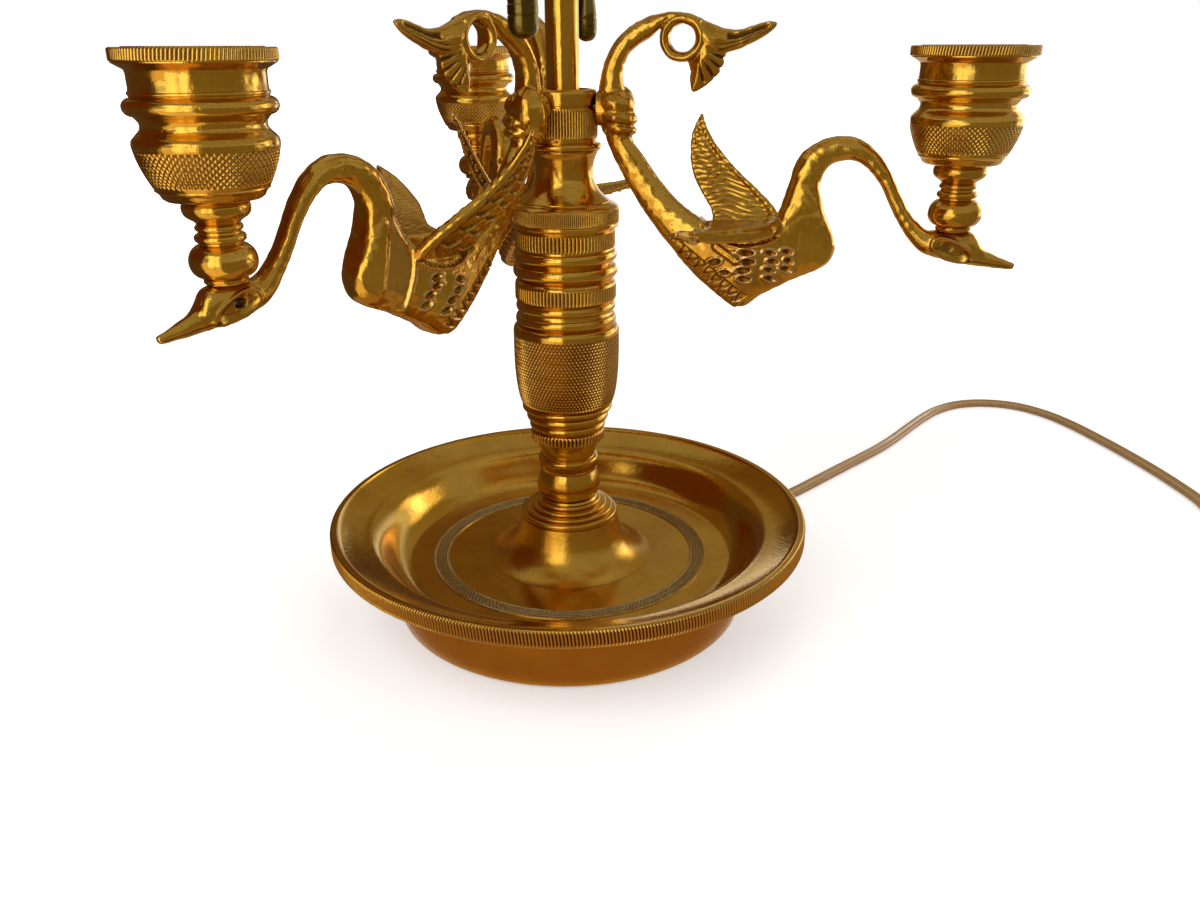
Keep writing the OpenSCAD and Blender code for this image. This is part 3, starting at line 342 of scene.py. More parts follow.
def curve(p0, p1, p2, p3, steps=10):
    """Points of a cubic curve, without the first one."""
    t = np.linspace(0, 1, steps + 1)[1:, None]
    p0, p1, p2, p3 = (np.asarray(p, float) for p in (p0, p1, p2, p3))
    line = (1 - t) ** 3 * p0 + 3 * (1 - t) ** 2 * t * p1 + 3 * (1 - t) * t * t * p2 + t ** 3 * p3
    return line.tolist()


def bead(radius, z, wide, high, steps=10):
    """A half-round moulding from its foot to its top, out to `radius`."""
    turn = np.linspace(-math.pi / 2, math.pi / 2, steps + 1)
    return np.stack([radius - wide + wide * np.cos(turn), z + high / 2 * np.sin(turn)], 1).tolist()


def rounded(corners, steps=4):
    """An outline with its corners (r, z, rounding) rounded. Corners without a third value stay."""
    line = []
    count = len(corners)
    for i, corner in enumerate(corners):
        here = np.array(corner[:2], float)
        if len(corner) < 3:
            line.append(here.tolist())
            continue
        back = np.array(corners[i - 1][:2], float) - here
        ahead = np.array(corners[(i + 1) % count][:2], float) - here
        limit = 0.48 * min(np.linalg.norm(back), np.linalg.norm(ahead))
        back /= np.linalg.norm(back)
        ahead /= np.linalg.norm(ahead)
        half = math.acos(max(-1, min(1, float(back @ ahead)))) / 2
        cut = min(corner[2] / math.tan(half), limit)
        size = cut * math.tan(half)
        middle = here + (back + ahead) / np.linalg.norm(back + ahead) * size / math.sin(half)
        first = here + back * cut - middle
        last = here + ahead * cut - middle
        angle = math.acos(max(-1, min(1, float(first @ last) / size / size)))
        for k in range(steps + 1):
            share = k / steps
            arm = math.sin((1 - share) * angle) * first + math.sin(share * angle) * last
            line.append((middle + arm / math.sin(angle)).tolist())
    return line


# Radius of the bore of the turned pieces, inside which nothing shows.
BORE = 5
# Longest step along an outline where it has no relief.
COARSE = 4


def finer(line, step, low, high):
    """A closed outline with points added, `step` apart from the height `low` to `high`."""
    made = []
    for a, b in zip(line, np.roll(line, -1, axis=0)):
        fine = max(a[1], b[1]) > low and min(a[1], b[1]) < high and min(a[0], b[0]) > BORE + 0.5
        count = max(1, math.ceil(np.linalg.norm(b - a) / (step if fine else COARSE)))
        made += [a + (b - a) * k / count for k in range(count)]
    return np.array(made)


def lathe(name, outline, material, segments=180, at=(0, 0), relief=None, step=None, satin=None,
          fine=(-math.inf, math.inf), **facts):
    """A turned solid. `outline` runs bottom, outside, top and back down its bore."""
    line = np.array([p[:2] for p in outline], float)
    if step:
        line = finer(line, step, *fine)
    ahead = np.roll(line, -1, axis=0) - line
    along = np.concatenate([[0], np.cumsum(np.linalg.norm(ahead, axis=1))[:-1]])
    slope = np.roll(line, -1, axis=0) - np.roll(line, 1, axis=0)
    slope /= np.maximum(np.linalg.norm(slope, axis=1), 1e-9)[:, None]
    rows = len(line)
    turn = np.arange(segments) * TAU / segments
    r, t = np.meshgrid(line[:, 0], turn, indexing="ij")
    z = np.repeat(line[:, 1:], segments, 1)
    s = np.repeat(along[:, None], segments, 1)
    groove = np.zeros_like(r)
    if relief:
        lift, groove = relief(r, z, t)
        r = r + lift * slope[:, 1:]
        z = z - lift * slope[:, :1]
    points = np.stack([at[0] + r * np.cos(t), at[1] + r * np.sin(t), z], 2).reshape(-1, 3)
    turned = np.stack([np.cos(t), np.sin(t), s * MM], 2).reshape(-1, 3)
    index = np.arange(rows * segments).reshape(rows, segments)
    on_axis = line[:, 0] < 1e-6
    index[on_axis] = index[on_axis][:, :1]
    quads = np.stack([index, np.roll(index, -1, 1), np.roll(np.roll(index, -1, 0), -1, 1),
                      np.roll(index, -1, 0)], 2).reshape(-1, 4)
    faces = [list(dict.fromkeys(q)) for q in quads.tolist()]
    faces = [f for f in faces if len(f) > 2]
    shine = satin(r, z).ravel() if satin else np.zeros(len(points))
    keep = slice(None)
    if on_axis.any():
        # A ring on the axis is one point, so the rest of its points go.
        keep, packed = np.unique(np.concatenate(faces), return_inverse=True)
        faces = [f.tolist() for f in np.split(packed, np.cumsum([len(f) for f in faces])[:-1])]
    return piece(name, points[keep], faces, material, groove=groove.ravel()[keep],
                 satin=shine[keep], turned=turned[keep], **facts)


def over_node(name, node, line, material, segments, **facts):
    """A turned piece in the place of a CAD node, its outline drawn over the node's bottom."""
    lathe(name, raised(line, span(node)[0]), material, segments, at=centre(node), nodes=(node,),
          **facts)


def inside(value, low, high, soft=0.25):
    """1 between low and high, falling to 0 over `soft` past them."""
    return np.clip((value - low) / soft + 1, 0, 1) * np.clip((high - value) / soft + 1, 0, 1)


def flutes(count, depth, low, high, sharp=0.6, slant=0.0, wear_and_sheen=0.3):
    """Upright rounded teeth between two heights, outside the bore. Their gaps are dark, painted
    shade with some patina, and their tops paler, a painted highlight with some wear.
    """
    def relief(r, z, t):
        u = count * t / TAU + slant * (z - low)
        ridge = np.abs(np.sin(math.pi * u)) ** sharp
        on = inside(z, low, high) * (r > BORE + 1)
        gap = (1 - ridge) * on
        return -depth * gap, gap - wear_and_sheen * on * np.clip(2 * ridge - 1, 0, 1)
    return relief


def knurl(count, rise, depth, low, high, outer, wear_and_sheen=0.35, wide=2.4):
    """Diamonds cut by two sets of slanted lines, on what is wider than `outer`. The cuts are dark,
    painted shade with some patina, and the diamonds' tops paler, a painted highlight with some
    wear.
    """
    def relief(r, z, t):
        u = count * t / TAU
        v = (z - low) / rise
        first = 1 - np.abs(2 * ((u + v) % 1) - 1)
        second = 1 - np.abs(2 * ((u - v) % 1) - 1)
        cut = 1 - np.clip(wide * np.minimum(first, second) - 0.1, 0, 1)
        on = inside(z, low, high, 0.15) * (r > outer)
        return -depth * cut * on, on * ((0.85 + wear_and_sheen) * cut - wear_and_sheen)
    return relief


def tube_faces(rows, m, looped=False):
    """Faces of a tube of `rows` rings of `m` points, with its ends closed or joined in a loop."""
    i, j = np.meshgrid(np.arange(rows - (not looped)), np.arange(m), indexing="ij")
    k = (j + 1) % m
    n = (i + 1) % rows
    quads = np.stack([i * m + j, i * m + k, n * m + k, n * m + j], 2).reshape(-1, 4).tolist()
    if looped:
        return quads
    return quads + [list(range(m))[::-1], list(range((rows - 1) * m, rows * m))]


def sweep(name, path, section, material, roll, **facts):
    """A flat or round strand along a path. `section` holds points across and up from the path,
    and `roll` how far it leans to its right at each point, in radians."""
    path = np.asarray(path, float)
    ahead = np.gradient(path, axis=0)
    ahead /= np.linalg.norm(ahead, axis=1)[:, None]
    across = np.stack([ahead[:, 1], -ahead[:, 0], np.zeros(len(path))], 1)
    across /= np.linalg.norm(across, axis=1)[:, None]
    up = np.cross(across, ahead)
    cos = np.cos(roll)[:, None]
    sin = np.sin(roll)[:, None]
    across, up = across * cos - up * sin, up * cos + across * sin
    section = np.asarray(section, float)
    rings = (path[:, None] + section[None, :, :1] * across[:, None]
             + section[None, :, 1:] * up[:, None])
    rows, m = rings.shape[:2]
    along = np.concatenate([[0], np.cumsum(np.linalg.norm(np.diff(path, axis=0), axis=1))])
    turned = np.zeros((rows, m, 3))
    turned[:, :, 0] = np.cos(np.arange(m) * TAU / m)
    turned[:, :, 1] = np.sin(np.arange(m) * TAU / m)
    turned[:, :, 2] = along[:, None] * MM
    return piece(name, rings.reshape(-1, 3), tube_faces(rows, m), material,
                 turned=turned.reshape(-1, 3), **facts)


def through(points, steps):
    """A smooth curve through points of any number of values."""
    p = np.asarray(points, float)
    p = np.concatenate([p[:1], p, p[-1:]])
    line = []
    for a, b, c, d in zip(p[:-3], p[1:-2], p[2:-1], p[3:]):
        for k in range(steps):
            t = k / steps
            line.append(b + 0.5 * t * (c - a + t * (2 * a - 5 * b + 4 * c - d
                                                    + t * (3 * (b - c) + d - a))))
    return np.array(line + [p[-1]])


# ---------------------------------------------------------------- cord

CORD_WIDTH = 5.5
CORD_THICK = 2.8
# The middle line of the lead, as in the CAD model, from the bushing to the coil.
CORD_ROUTE = [
    (68.2, 62.5, 7), (74, 67, 6.4), (80.5, 72, 4.6), (88, 78, 2.4), (97, 85, 1.5),
    (109.2, 94.6, 1.5), (126, 111.5, 1.5), (143, 129, 1.5), (158, 144, 1.5),
    (172, 158.8, 1.5), (184.5, 174, 1.5), (197, 190.4, 1.5), (211, 208, 1.5),
    (224, 221.5, 1.5), (240, 231.5, 1.5), (258, 234, 1.5), (275, 228, 1.5),
    (287.5, 213.5, 1.5), (295.5, 194, 1.5), (301, 172, 1.5), (305.5, 150, 1.5),
    (309, 128, 1.5), (311.4, 106, 1.5), (312.2, 84, 1.5), (308, 62, 1.5),
    (301.8, 44, 1.5), (300.8, 30, 1.5)]
COIL_CENTRE = (340, 28)
COIL_LOW = (38.7, 33.0, 27.3, 21.6)
COIL_HIGH = (24.5, 30.2, 35.9)
# From the top of the coil the cord runs off to the plug beside it.
CORD_TAIL = [(303.8, 22.2, 4.3), (304.9, 14.0, 4.3), (308.2, 4.5, 4.3), (314.2, -3.6, 4.3),
             (322.4, -9.4, 4.2), (331.5, -12.0, 3.9), (341, -12.2, 3.4), (350.2, -12, 3.2)]
LAYER_LOW = 1.5
LAYER_HIGH = 4.3
TURN_STEPS = 40
ROUTE_STEPS = 5
TAIL_STEPS = 4
# On its way to the coil the cord leans on one edge, by this angle, and so lies a little higher.
LEAN_ANGLE = 0.55
LEAN_LIFT = 0.75
# Half the width and half the thickness of the web between the two cores, and how far each
# core's round runs to either side.
WEB = 0.75
LOBE_ANGLE = math.radians(138)


def coil_turns():
    """The stored length: one layer of turns going in, and one on it coming out."""
    line = []
    radii = [(r, LAYER_LOW) for r in COIL_LOW] + [(r, LAYER_HIGH) for r in COIL_HIGH]
    for n, (radius, z) in enumerate(radii):
        after, after_z = radii[min(n + 1, len(radii) - 1)]
        for k in range(1 if n == 0 else 0, TURN_STEPS):
            share = k / TURN_STEPS
            late = max(0.0, (share - 0.7) / 0.3)
            late = late * late * (3 - 2 * late)
            r = radius + (after - radius) * late
            a = math.pi + TAU * share
            line.append((COIL_CENTRE[0] + r * math.cos(a), COIL_CENTRE[1] + r * math.sin(a),
                         z + (after_z - z) * late))
    return line


def twin_section(steps=7):
    """Two round cores side by side with a thin web between them."""
    lobe = CORD_THICK / 2
    offset = CORD_WIDTH / 2 - lobe
    line = []
    for side in (1, -1):
        for k in range(steps + 1):
            a = -LOBE_ANGLE + 2 * LOBE_ANGLE * k / steps
            line.append((side * (offset + lobe * math.cos(a)), side * lobe * math.sin(a)))
        line.append((0.0, side * WEB))
    return line


def make_cord():
    """The twin cord, with its flat side turned to the front on the way to its coil."""
    path = np.concatenate([through(CORD_ROUTE, ROUTE_STEPS)[:-1], coil_turns(),
                           through(CORD_TAIL, TAIL_STEPS)])
    share = np.linspace(0, 1, len(path)) * len(path) / (ROUTE_STEPS * len(CORD_ROUTE))
    lean = np.clip(share / 0.15, 0, 1) * np.clip((1 - share) / 0.15, 0, 1)
    path[:, 2] += LEAN_LIFT * lean
    section = twin_section()
    web = [max(0.0, 1 - abs(across) / WEB) for across, _ in section]
    lead = sweep("cord_twin", path, section, VINYL, LEAN_ANGLE * lean, crease=50,
                 groove=np.tile(web, len(path)), nodes=("cord_lead", "cord_coil"))
    length = float(np.linalg.norm(np.diff(path, axis=0), axis=1).sum()) * MM
    return lead, path, length


cord, cord_line, cord_length = make_cord()

# ---------------------------------------------------------------- base

DRUM_WALL = 1.4
DISH_SHEET = 1.2
RIM_TEETH = 500
# The stippled ring in the dish's floor: its width, its plain edges, its rows of dots and the
# dots in each row.
RING_WIDE = 6.0
RING_EDGE = 0.9
RING_ROWS = 4
RING_DOTS = 200


def make_drum():
    z0, z1, r = span("base_drum")
    pad = rounded([(BORE, 0.02), (r - 3, 0.02, 0.4), (r - 2.6, z0, 0.2), (BORE, z0)])
    lathe("felt_pad", pad, FELT, 120, nodes=("base_felt",))
    inner = r - DRUM_WALL
    under = z1 - DRUM_WALL
    drum = rounded([(inner, z0), (r, z0, 0.4), (r, z1, 0.5), (BORE, z1), (BORE, under),
                    (inner, under)])
    lathe("drum", drum, SATIN_SHADED, 240, nodes=("base_drum",))


def make_dish():
    z0, rim_z, r = span("dish")
    floor_z = z0 + DISH_SHEET
    floor_r = r - 30.5
    wall_r = r - 12.3
    shelf_z = rim_z - 5.9
    under_z = shelf_z - DISH_SHEET
    over = curve((floor_r, floor_z), (floor_r + 10, floor_z + 0.3), (wall_r - 9, shelf_z - 1.6),
                 (wall_r - 1, shelf_z + 0.1), 22)
    over += curve(over[-1], (wall_r + 2.6, shelf_z + 0.9), (wall_r + 6.4, shelf_z + 2.4),
                  (r - 2.4, rim_z - 1.6), 12)
    under = curve((floor_r + 0.6, z0), (floor_r + 9.6, z0 + 0.6), (wall_r - 8, under_z - 1.8),
                  (wall_r + 0.4, under_z), 16)
    lip = rounded([(r - 3, rim_z - 6.2), (r - 1.2, rim_z - 6.0, 0.5), (r - 1.2, rim_z - 0.6),
                   (r - 1.5, rim_z - 0.3, 0.3)])
    outline = ([(BORE, z0), (floor_r + 0.6, z0)] + under + lip + over[::-1]
               + [(floor_r, floor_z), (BORE, floor_z)])
    lathe("dish_bowl", outline, POLISHED, 300, nodes=("dish",))


def make_rim_band():
    """The milled edge, which reaches down over the dish's lip."""
    z0, z1, r = span("dish_rim_band")
    base = z0 - 3.0
    outline = rounded([(r - 2.6, base), (r - 0.4, base, 0.2), (r, base + 0.4, 0.2),
                       (r, z1 - 0.9, 0.4), (r - 0.9, z1, 0.6), (r - 2.6, z1 - 0.3)])
    lathe("dish_rim", outline, POLISHED, 8 * RIM_TEETH, step=0.5, nodes=("dish_rim_band",),
          relief=flutes(RIM_TEETH, 0.62, base + 0.9, z1 - 0.6, 1.2, 0.1, wear_and_sheen=0.7))


def make_floor_ring():
    z0, z1, r = span("dish_floor_ring")
    inner = r - RING_WIDE
    outline = [(inner, z0 - 0.4), (r, z0 - 0.4), (r, z0 + 0.3), (r - 0.25, z1 - 0.15),
               (r - 0.6, z0 + 0.25), (r - 0.8, z0 + 0.35), (inner + 0.8, z0 + 0.35),
               (inner + 0.6, z0 + 0.25), (inner + 0.25, z1 - 0.15), (inner, z0 + 0.3)]
    pitch = (RING_WIDE - 2 * RING_EDGE) / RING_ROWS

    def stipple(r_at, z, t):
        v = (r_at - inner - RING_EDGE) / pitch
        u = RING_DOTS * t / TAU + 0.5 * (np.floor(v) % 2)
        dot = np.hypot(2 * (u % 1) - 1, 2 * (v % 1) - 1)
        pit = np.clip(2.6 * (1.0 - dot), 0, 1)
        pit = pit * inside(r_at, inner + RING_EDGE, r - RING_EDGE, 0.1) * (z > z0)
        return -0.4 * pit, pit + 0.05 * (z > z0)

    lathe("dish_ring", outline, OXIDISED, 10 * RING_DOTS, step=0.2, relief=stipple,
          nodes=("dish_floor_ring",))


for make in (make_drum, make_dish, make_rim_band, make_floor_ring):
    make()

# ---------------------------------------------------------------- column

# Bottom and top of the pieces under the barrel, whose seams lie a little higher than in the CAD.
SEAMS = {"foot": (20.5, 45.9), "knop": (45.9, 57.8), "cove": (57.8, 74.6), "stem": (74.6, 86.0)}


def turned_part(name, node, outside, segments=180, **facts):
    """A column piece: its outer line from the bottom up, closed down its bore."""
    z0, z1, r = span(node)
    z0, z1 = SEAMS.get(node, (z0, z1))
    line = raised(outside(r, z1 - z0), z0)
    outline = [(BORE, line[0][1])] + line + [(BORE, line[-1][1])]
    lathe(name, outline, POLISHED, segments, nodes=(node,), **facts)


def milled_part(name, node, outside, segments, step, teeth):
    """A column piece with a milled band. `teeth` holds their number and depth, the band's two
    heights over the piece's bottom and how sharp they are."""
    count, depth, low, high, sharp = teeth
    z0 = span(node)[0]
    turned_part(name, node, outside, segments, step=step,
                relief=flutes(count, depth, z0 + low, z0 + high, sharp))


def foot_line(r, h):
    """A bell that runs out into the dish, under four low rings."""
    return ([(r + 4.6, 0), (r + 5.2, 0.08)]
            + curve((r + 5.2, 0.08), (r + 0.5, 0.8), (23.4, 5.0), (21.5, 10), 20)
            + curve((21.5, 10), (20.5, 12.6), (19.9, 14.6), (19.2, 17), 8)
            + bead(19.5, 18.4, 0.8, 2.4) + [(18.2, 19.7)] + bead(17.6, 20.5, 0.7, 1.5)
            + [(16.3, 21.3)] + bead(15.2, 22.0, 0.7, 1.4) + [(13.6, 22.8)]
            + bead(12.9, 23.7, 0.8, 1.7) + [(11.4, 24.7), (10.9, h)])


def knop_line(_, h):
    return ([(9.8, 0), (10.3, 0.2)]
            + curve((10.3, 0.2), (11.8, 1.0), (12.6, 2.8), (12.6, 4.9), 14)
            + curve((12.6, 4.9), (12.6, 7.4), (12.0, 9.6), (11.2, h - 0.2), 12) + [(10.8, h)])


def cove_line(_, h):
    return ([(10.5, 0), (11.1, 0.2), (11.2, 3.1), (10.5, 3.4)] + bead(11.8, 4.4, 0.9, 2.0)
            + [(10.5, 5.5)] + curve((10.5, 5.5), (10.4, 7.6), (11.7, 10.4), (13.0, 12.6), 14)
            + [(13.8, 12.8), (14.3, 13.1), (14.4, 16.2), (14.0, h)])


def stem_line(_, h):
    return ([(13.4, 0), (13.7, 0.3)] + bead(14.8, 2.2, 0.9, 2.8) + [(14.2, 3.8)]
            + bead(15.9, 5.9, 1.6, 3.7) + [(14.9, 7.9)] + bead(17.5, 9.5, 2.3, 3.0) + [(16.5, h)])


def barrel_line(r, h):
    shoulder = h - 3.4
    return ([(r - 2.4, 0)]
            + curve((r - 2.4, 0), (r - 1.2, 2.6), (r - 0.4, 8), (r - 0.1, 15), 16)
            + [(r, 20), (r, shoulder)]
            + curve((r, shoulder), (r, shoulder + 1.8), (r - 0.3, h - 0.6), (r - 1.4, h - 0.1), 8)
            + [(r - 2.4, h)])


def two_beads(low, high, groove):
    """A line with two beads (radius, height, width, length) and a groove between them."""
    def line(_, h):
        return ([(groove, 0)] + bead(*low) + [(groove, (low[1] + high[1]) / 2)] + bead(*high)
                + [(groove + 0.3, h)])
    return line


def fluted_line(top):
    """A plain band up to the height `top`, with a step in over it if there is room."""
    def line(r, h):
        return ([(r - 0.9, 0), (r - 0.2, 0.3), (r, 0.6), (r, top), (r - 0.25, top + 0.3)]
                + ([(r - 0.35, top + 0.8), (r - 0.2, h - 0.9)] if h > top + 1.6 else [])
                + [(r - 1.0, h)])
    return line


def collar_line(r, h):
    return ([(r - 2.2, 0), (r - 2.0, 0.7), (r - 1.0, 1.0), (r - 0.3, 1.3), (r - 0.1, 1.8),
             (r - 0.2, 2.4), (r - 0.4, 2.6), (r - 0.1, 2.9), (r, 3.3), (r, 7.6), (r - 0.15, 8.0),
             (r - 0.6, 8.5), (r - 1.5, 9.1), (16.9, h - 0.35), (16.6, h)])


def neck_line(r, h):
    waist = 10.6
    return ([(r, 0), (r, 0.25)]
            + curve((r, 0.25), (waist + 2.2, 2.6), (waist, 6), (waist, 9.6), 16)
            + curve((waist, 9.6), (waist, 13), (waist + 0.5, h - 2.6), (waist + 1.8, h - 0.5), 10)
            + [(waist + 1.8, h)])


def hub_line(r, h):
    hub = r - 1.3
    return ([(hub, 0), (r - 0.5, 0)] + bead(r, 1.25, 0.9, 2.3)
            + [(hub - 0.4, 2.6), (hub - 0.3, 3.0), (hub - 0.2, 4.1), (hub, 4.4), (hub, 13.7),
               (hub - 0.15, 14.1), (hub - 0.5, 14.3), (hub - 0.5, 14.8), (hub - 0.15, 15.1),
               (hub - 0.15, 18.9), (hub - 0.3, 19.5), (hub - 0.9, 20.0), (hub - 1.8, h), (6.2, h)])


def make_column():
    turned_part("foot_turned", "foot", foot_line, 220, satin=lambda _, z: np.full_like(z, 0.3))
    turned_part("knop_ball", "knop", knop_line, 160)
    z0 = SEAMS["cove"][0]
    low = flutes(54, 0.6, z0 + 0.3, z0 + 3.0, 0.8, wear_and_sheen=0.7)
    high = flutes(58, 0.75, z0 + 13.1, z0 + 16.3, 0.8, wear_and_sheen=0.7)
    turned_part("cove_bell", "cove", cove_line, 812, step=0.4,
                relief=lambda *at: np.add(low(*at), high(*at)))
    turned_part("stem_turned", "stem", stem_line)
    z0 = span("barrel")[0]
    turned_part("barrel_knurled", "barrel", barrel_line, 1056, step=0.22, fine=(z0, z0 + 28),
                relief=knurl(count=88, rise=2.35, depth=0.55, low=z0 + 0.5, high=z0 + 27.4,
                             outer=12, wear_and_sheen=0.75, wide=1.9))
    turned_part("rings_lower", "lower_rings",
                two_beads((18.9, 2.2, 1.2, 3.7), (18.65, 7.1, 1.2, 3.6), 17.5))
    milled_part("band_lower", "lower_band", fluted_line(5.7), 1008, 0.5, (84, 0.6, 0.8, 5.5, 0.6))
    turned_part("rings_upper", "upper_rings",
                two_beads((19.4, 3.3, 1.5, 4.6), (19.1, 8.9, 1.4, 4.2), 17.3))
    milled_part("band_upper", "upper_band", fluted_line(6.1), 960, 0.5, (80, 0.6, 0.7, 5.9, 0.6))
    milled_part("collar_milled", "collar", collar_line, 1440, 0.5, (180, 0.42, 3.4, 7.6, 0.8))
    turned_part("neck_turned", "neck", neck_line, 200)
    milled_part("hub_fluted", "arm_hub", hub_line, 720, 0.6, (72, 0.4, 4.9, 13.2, 0.7))
    z0, z1, r = span("column_rod")
    lathe("rod_polished", rounded([(BORE, z0), (r, z0, 0.2), (r, z1, 0.3), (BORE, z1)]),
          POLISHED, 96, step=8, nodes=("column_rod",))


make_column()

# ---------------------------------------------------------------- candle cups

CUPS = ("cup_left", "cup_right", "cup_rear")
CUP_RIM_R = 20


def cup_line(h):
    lip = 16.9
    return ([(2.2, 0), (5.5, 0), (5.8, 0.4), (5.8, 1.3), (5.3, 1.6)]
            + curve((5.3, 1.6), (8.6, 1.8), (9.2, 5.2), (8.8, 7), 10)
            + curve((8.8, 7), (8.2, 9.6), (6.4, 10.2), (5.6, 10.6), 8)
            + bead(6.7, 12.1, 1.1, 2.3, 8) + [(5.6, 13.5)] + bead(6.2, 14.8, 0.9, 1.8, 8)
            + [(5.6, 15.9)] + curve((5.6, 15.9), (6.4, 17.4), (8.9, 17.0), (8.8, 20.2), 8)
            + [(8.5, 21.1), (7.9, 21.5), (8.1, 21.7), (11.9, 22.1), (12.8, 22.7), (13.2, 23.6),
               (13.9, 24.4), (14.4, 24.7), (14.3, 25.1), (14.8, 25.9)]
            + curve((14.8, 25.9), (16.0, 28.4), (17.3, 31.0), (17.9, 34.6), 8)
            + [(18.05, 35.4), (18.1, 36.2), (17.9, 37.1), (17.2, 37.9), (16.3, 38.8),
               (15.6, 39.6), (15.4, 40.4), (15.5, 41.3), (16.2, 42.2)]
            + bead(18.9, 45.0, 2.2, 4.4, 10) + [(16.9, 47.5)] + bead(17.2, 48.2, 0.4, 1.0, 6)
            + [(16.8, 49.0), (16.7, 49.6), (16.75, 53.0), (17.0, 53.7), (18.0, h - 4.7),
               (19.6, h - 3.7), (19.6, h - 3.4), (lip, h - 3.4), (lip, h - 0.2), (lip - 0.2, h)]
            + [(11.6, h), (11.25, h - 0.4), (11.25, h - 25), (2.2, h - 25)])


def make_cup(node):
    z0, z1, _ = span(node)
    over_node("candle_" + node, node, cup_line(z1 - z0), POLISHED, 832, step=0.24,
              fine=(z0 + 25.6, z0 + 35),
              relief=knurl(64, 1.62, 0.34, z0 + 26.2, z0 + 34.6, 11.9))


def make_cup_rims():
    z0, z1, _ = span("cup_rim_bands")
    r = CUP_RIM_R
    outline = rounded([(r - 3.08, z0), (r - 0.3, z0, 0.1), (r, z0 + 0.3, 0.2),
                       (r, z1 - 0.3, 0.3), (r - 0.5, z1, 0.3), (r - 3.08, z1)])
    made = [lathe("cup_rims", outline, POLISHED, 992, at=centre(node), step=0.4,
                  relief=flutes(124, 0.36, z0 + 0.4, z1 - 0.2, 0.6, -0.16)) for node in CUPS]
    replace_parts(joined("cup_rims", made), "cup_rim_bands")


for node in CUPS:
    make_cup(node)
make_cup_rims()

# ---------------------------------------------------------------- swan arms

# Stations of the casting in its own plane, x out from the hub and z up from the boss:
# upper x, upper z, lower x, lower z, half thickness, how much it narrows below.
SWAN = [
    (13.2, -5.5, 2.6, -4.6, 4.8, 0), (12.4, -9.8, 3.6, -10.8, 4.4, 0),
    (16.4, -15.6, 7.4, -19, 4.4, 0), (26.3, -28.3, 16.8, -34.5, 5, 0.1),
    (36.8, -36.5, 29.3, -49.5, 7, 0.2), (45.8, -39.5, 43.8, -63, 10, 0.22),
    (51.8, -40.5, 52.6, -67.6, 11, 0.25), (57.8, -40, 60.5, -62.6, 11, 0.3),
    (63.2, -36, 71, -57, 9.8, 0.25), (65.6, -29.5, 82, -51.6, 8.4, 0.15),
    (67.2, -24, 84.6, -44, 7.2, 0.1), (68.8, -18, 80.4, -33.5, 6, 0.1),
    (72.1, -12.8, 78.1, -23.5, 4.9, 0), (79.5, -8.7, 81.6, -17.4, 4.4, 0),
    (88, -8.4, 88, -16.2, 4.2, 0), (95, -12.2, 92.8, -18.4, 3.9, 0),
    (101, -19.4, 98.4, -24.8, 3.5, 0), (107.6, -31.2, 104.6, -35.8, 3.4, 0),
    (113.9, -38, 111.4, -44.6, 3.9, 0), (119, -38.7, 117.6, -47.7, 4.8, 0),
    (129.2, -38.8, 129.6, -50.1, 4.7, 0.1), (134, -44.2, 134.4, -50.6, 3.2, 0),
    (139, -46.9, 138.9, -51.1, 2.2, 0), (145.2, -49.4, 144.6, -51.3, 0.9, 0)]
SCROLL = [
    (0.6, -1, 11, -1, 4.8, 0), (0.2, 4, 9.6, 6.4, 4.5, 0), (2.3, 14.2, 9, 11.6, 4.2, 0),
    (6.1, 21.3, 11, 17.4, 4, 0), (11.4, 26.3, 15, 20.8, 3.9, 0), (17, 29.1, 18.4, 22.8, 3.7, 0),
    (21.4, 30.2, 21.4, 25.4, 3.6, 0), (26, 30.7, 26.2, 28.8, 3.5, 0),
    (31, 30.2, 30.6, 28.3, 3.6, 0), (35.6, 28.6, 34.4, 25, 3.8, 0)]
LONG_FEATHER = [
    (33.4, 29.2, 34.9, 22.4, 3.8, 0), (37.7, 27.5, 39, 17.4, 3.9, 0),
    (43.1, 25.6, 43.9, 17.9, 3.2, 0), (47.9, 25.2, 49, 19.5, 2.6, 0),
    (53.1, 26.6, 54.2, 21.9, 2.0, 0), (57.2, 27.6, 58, 24.2, 1.3, 0),
    (60.2, 27.3, 60.1, 26.3, 0.6, 0)]
EYE = (29.2, 22.6)
EYE_SECTION = [(4.5, -2.6), (5.4, -3.7), (6.4, -4.1), (7.2, -3.5), (7.6, -2.0), (7.6, 2.0),
               (7.2, 3.5), (6.4, 4.1), (5.4, 3.7), (4.5, 2.6), (4.3, 0)]
FAN_CENTRE = (36.6, 18.6)
FAN_RIM = [(43.9, 17.8), (43.6, 16.0), (42.9, 13.6), (41.2, 11.0), (38.6, 8.6), (35.4, 6.2),
           (33.0, 5.4), (32.3, 7.1), (32.2, 12.0), (31.6, 15.9), (33.8, 19.6), (34.8, 23.6),
           (36.4, 27.2), (41.0, 26.0), (43.4, 21.6)]
KNUCKLE = [(6.9, 1.6, 6.4, 4.8), (7.6, -2.6, 6.7, 3.4), (8.2, -6.2, 6.1, 2.5)]
# Chords of a wing: share of its length, trailing x, leading x, half thickness.
WING = [(0, 39, 65.5, 2.2), (0.1, 40.6, 65.2, 2), (0.2, 39.8, 63.6, 1.8), (0.36, 35.5, 57.2, 1.6),
        (0.52, 32, 49.6, 1.5), (0.7, 30.6, 42.2, 1.3), (0.86, 31, 37.2, 1.1),
        (1, 33.4, 34.6, 0.5)]
WING_LENGTH = 45
WING_BOW = 2.4
WING_SUNK = 5.5
WING_ROOT_Y = 6
WING_POINTS = 44
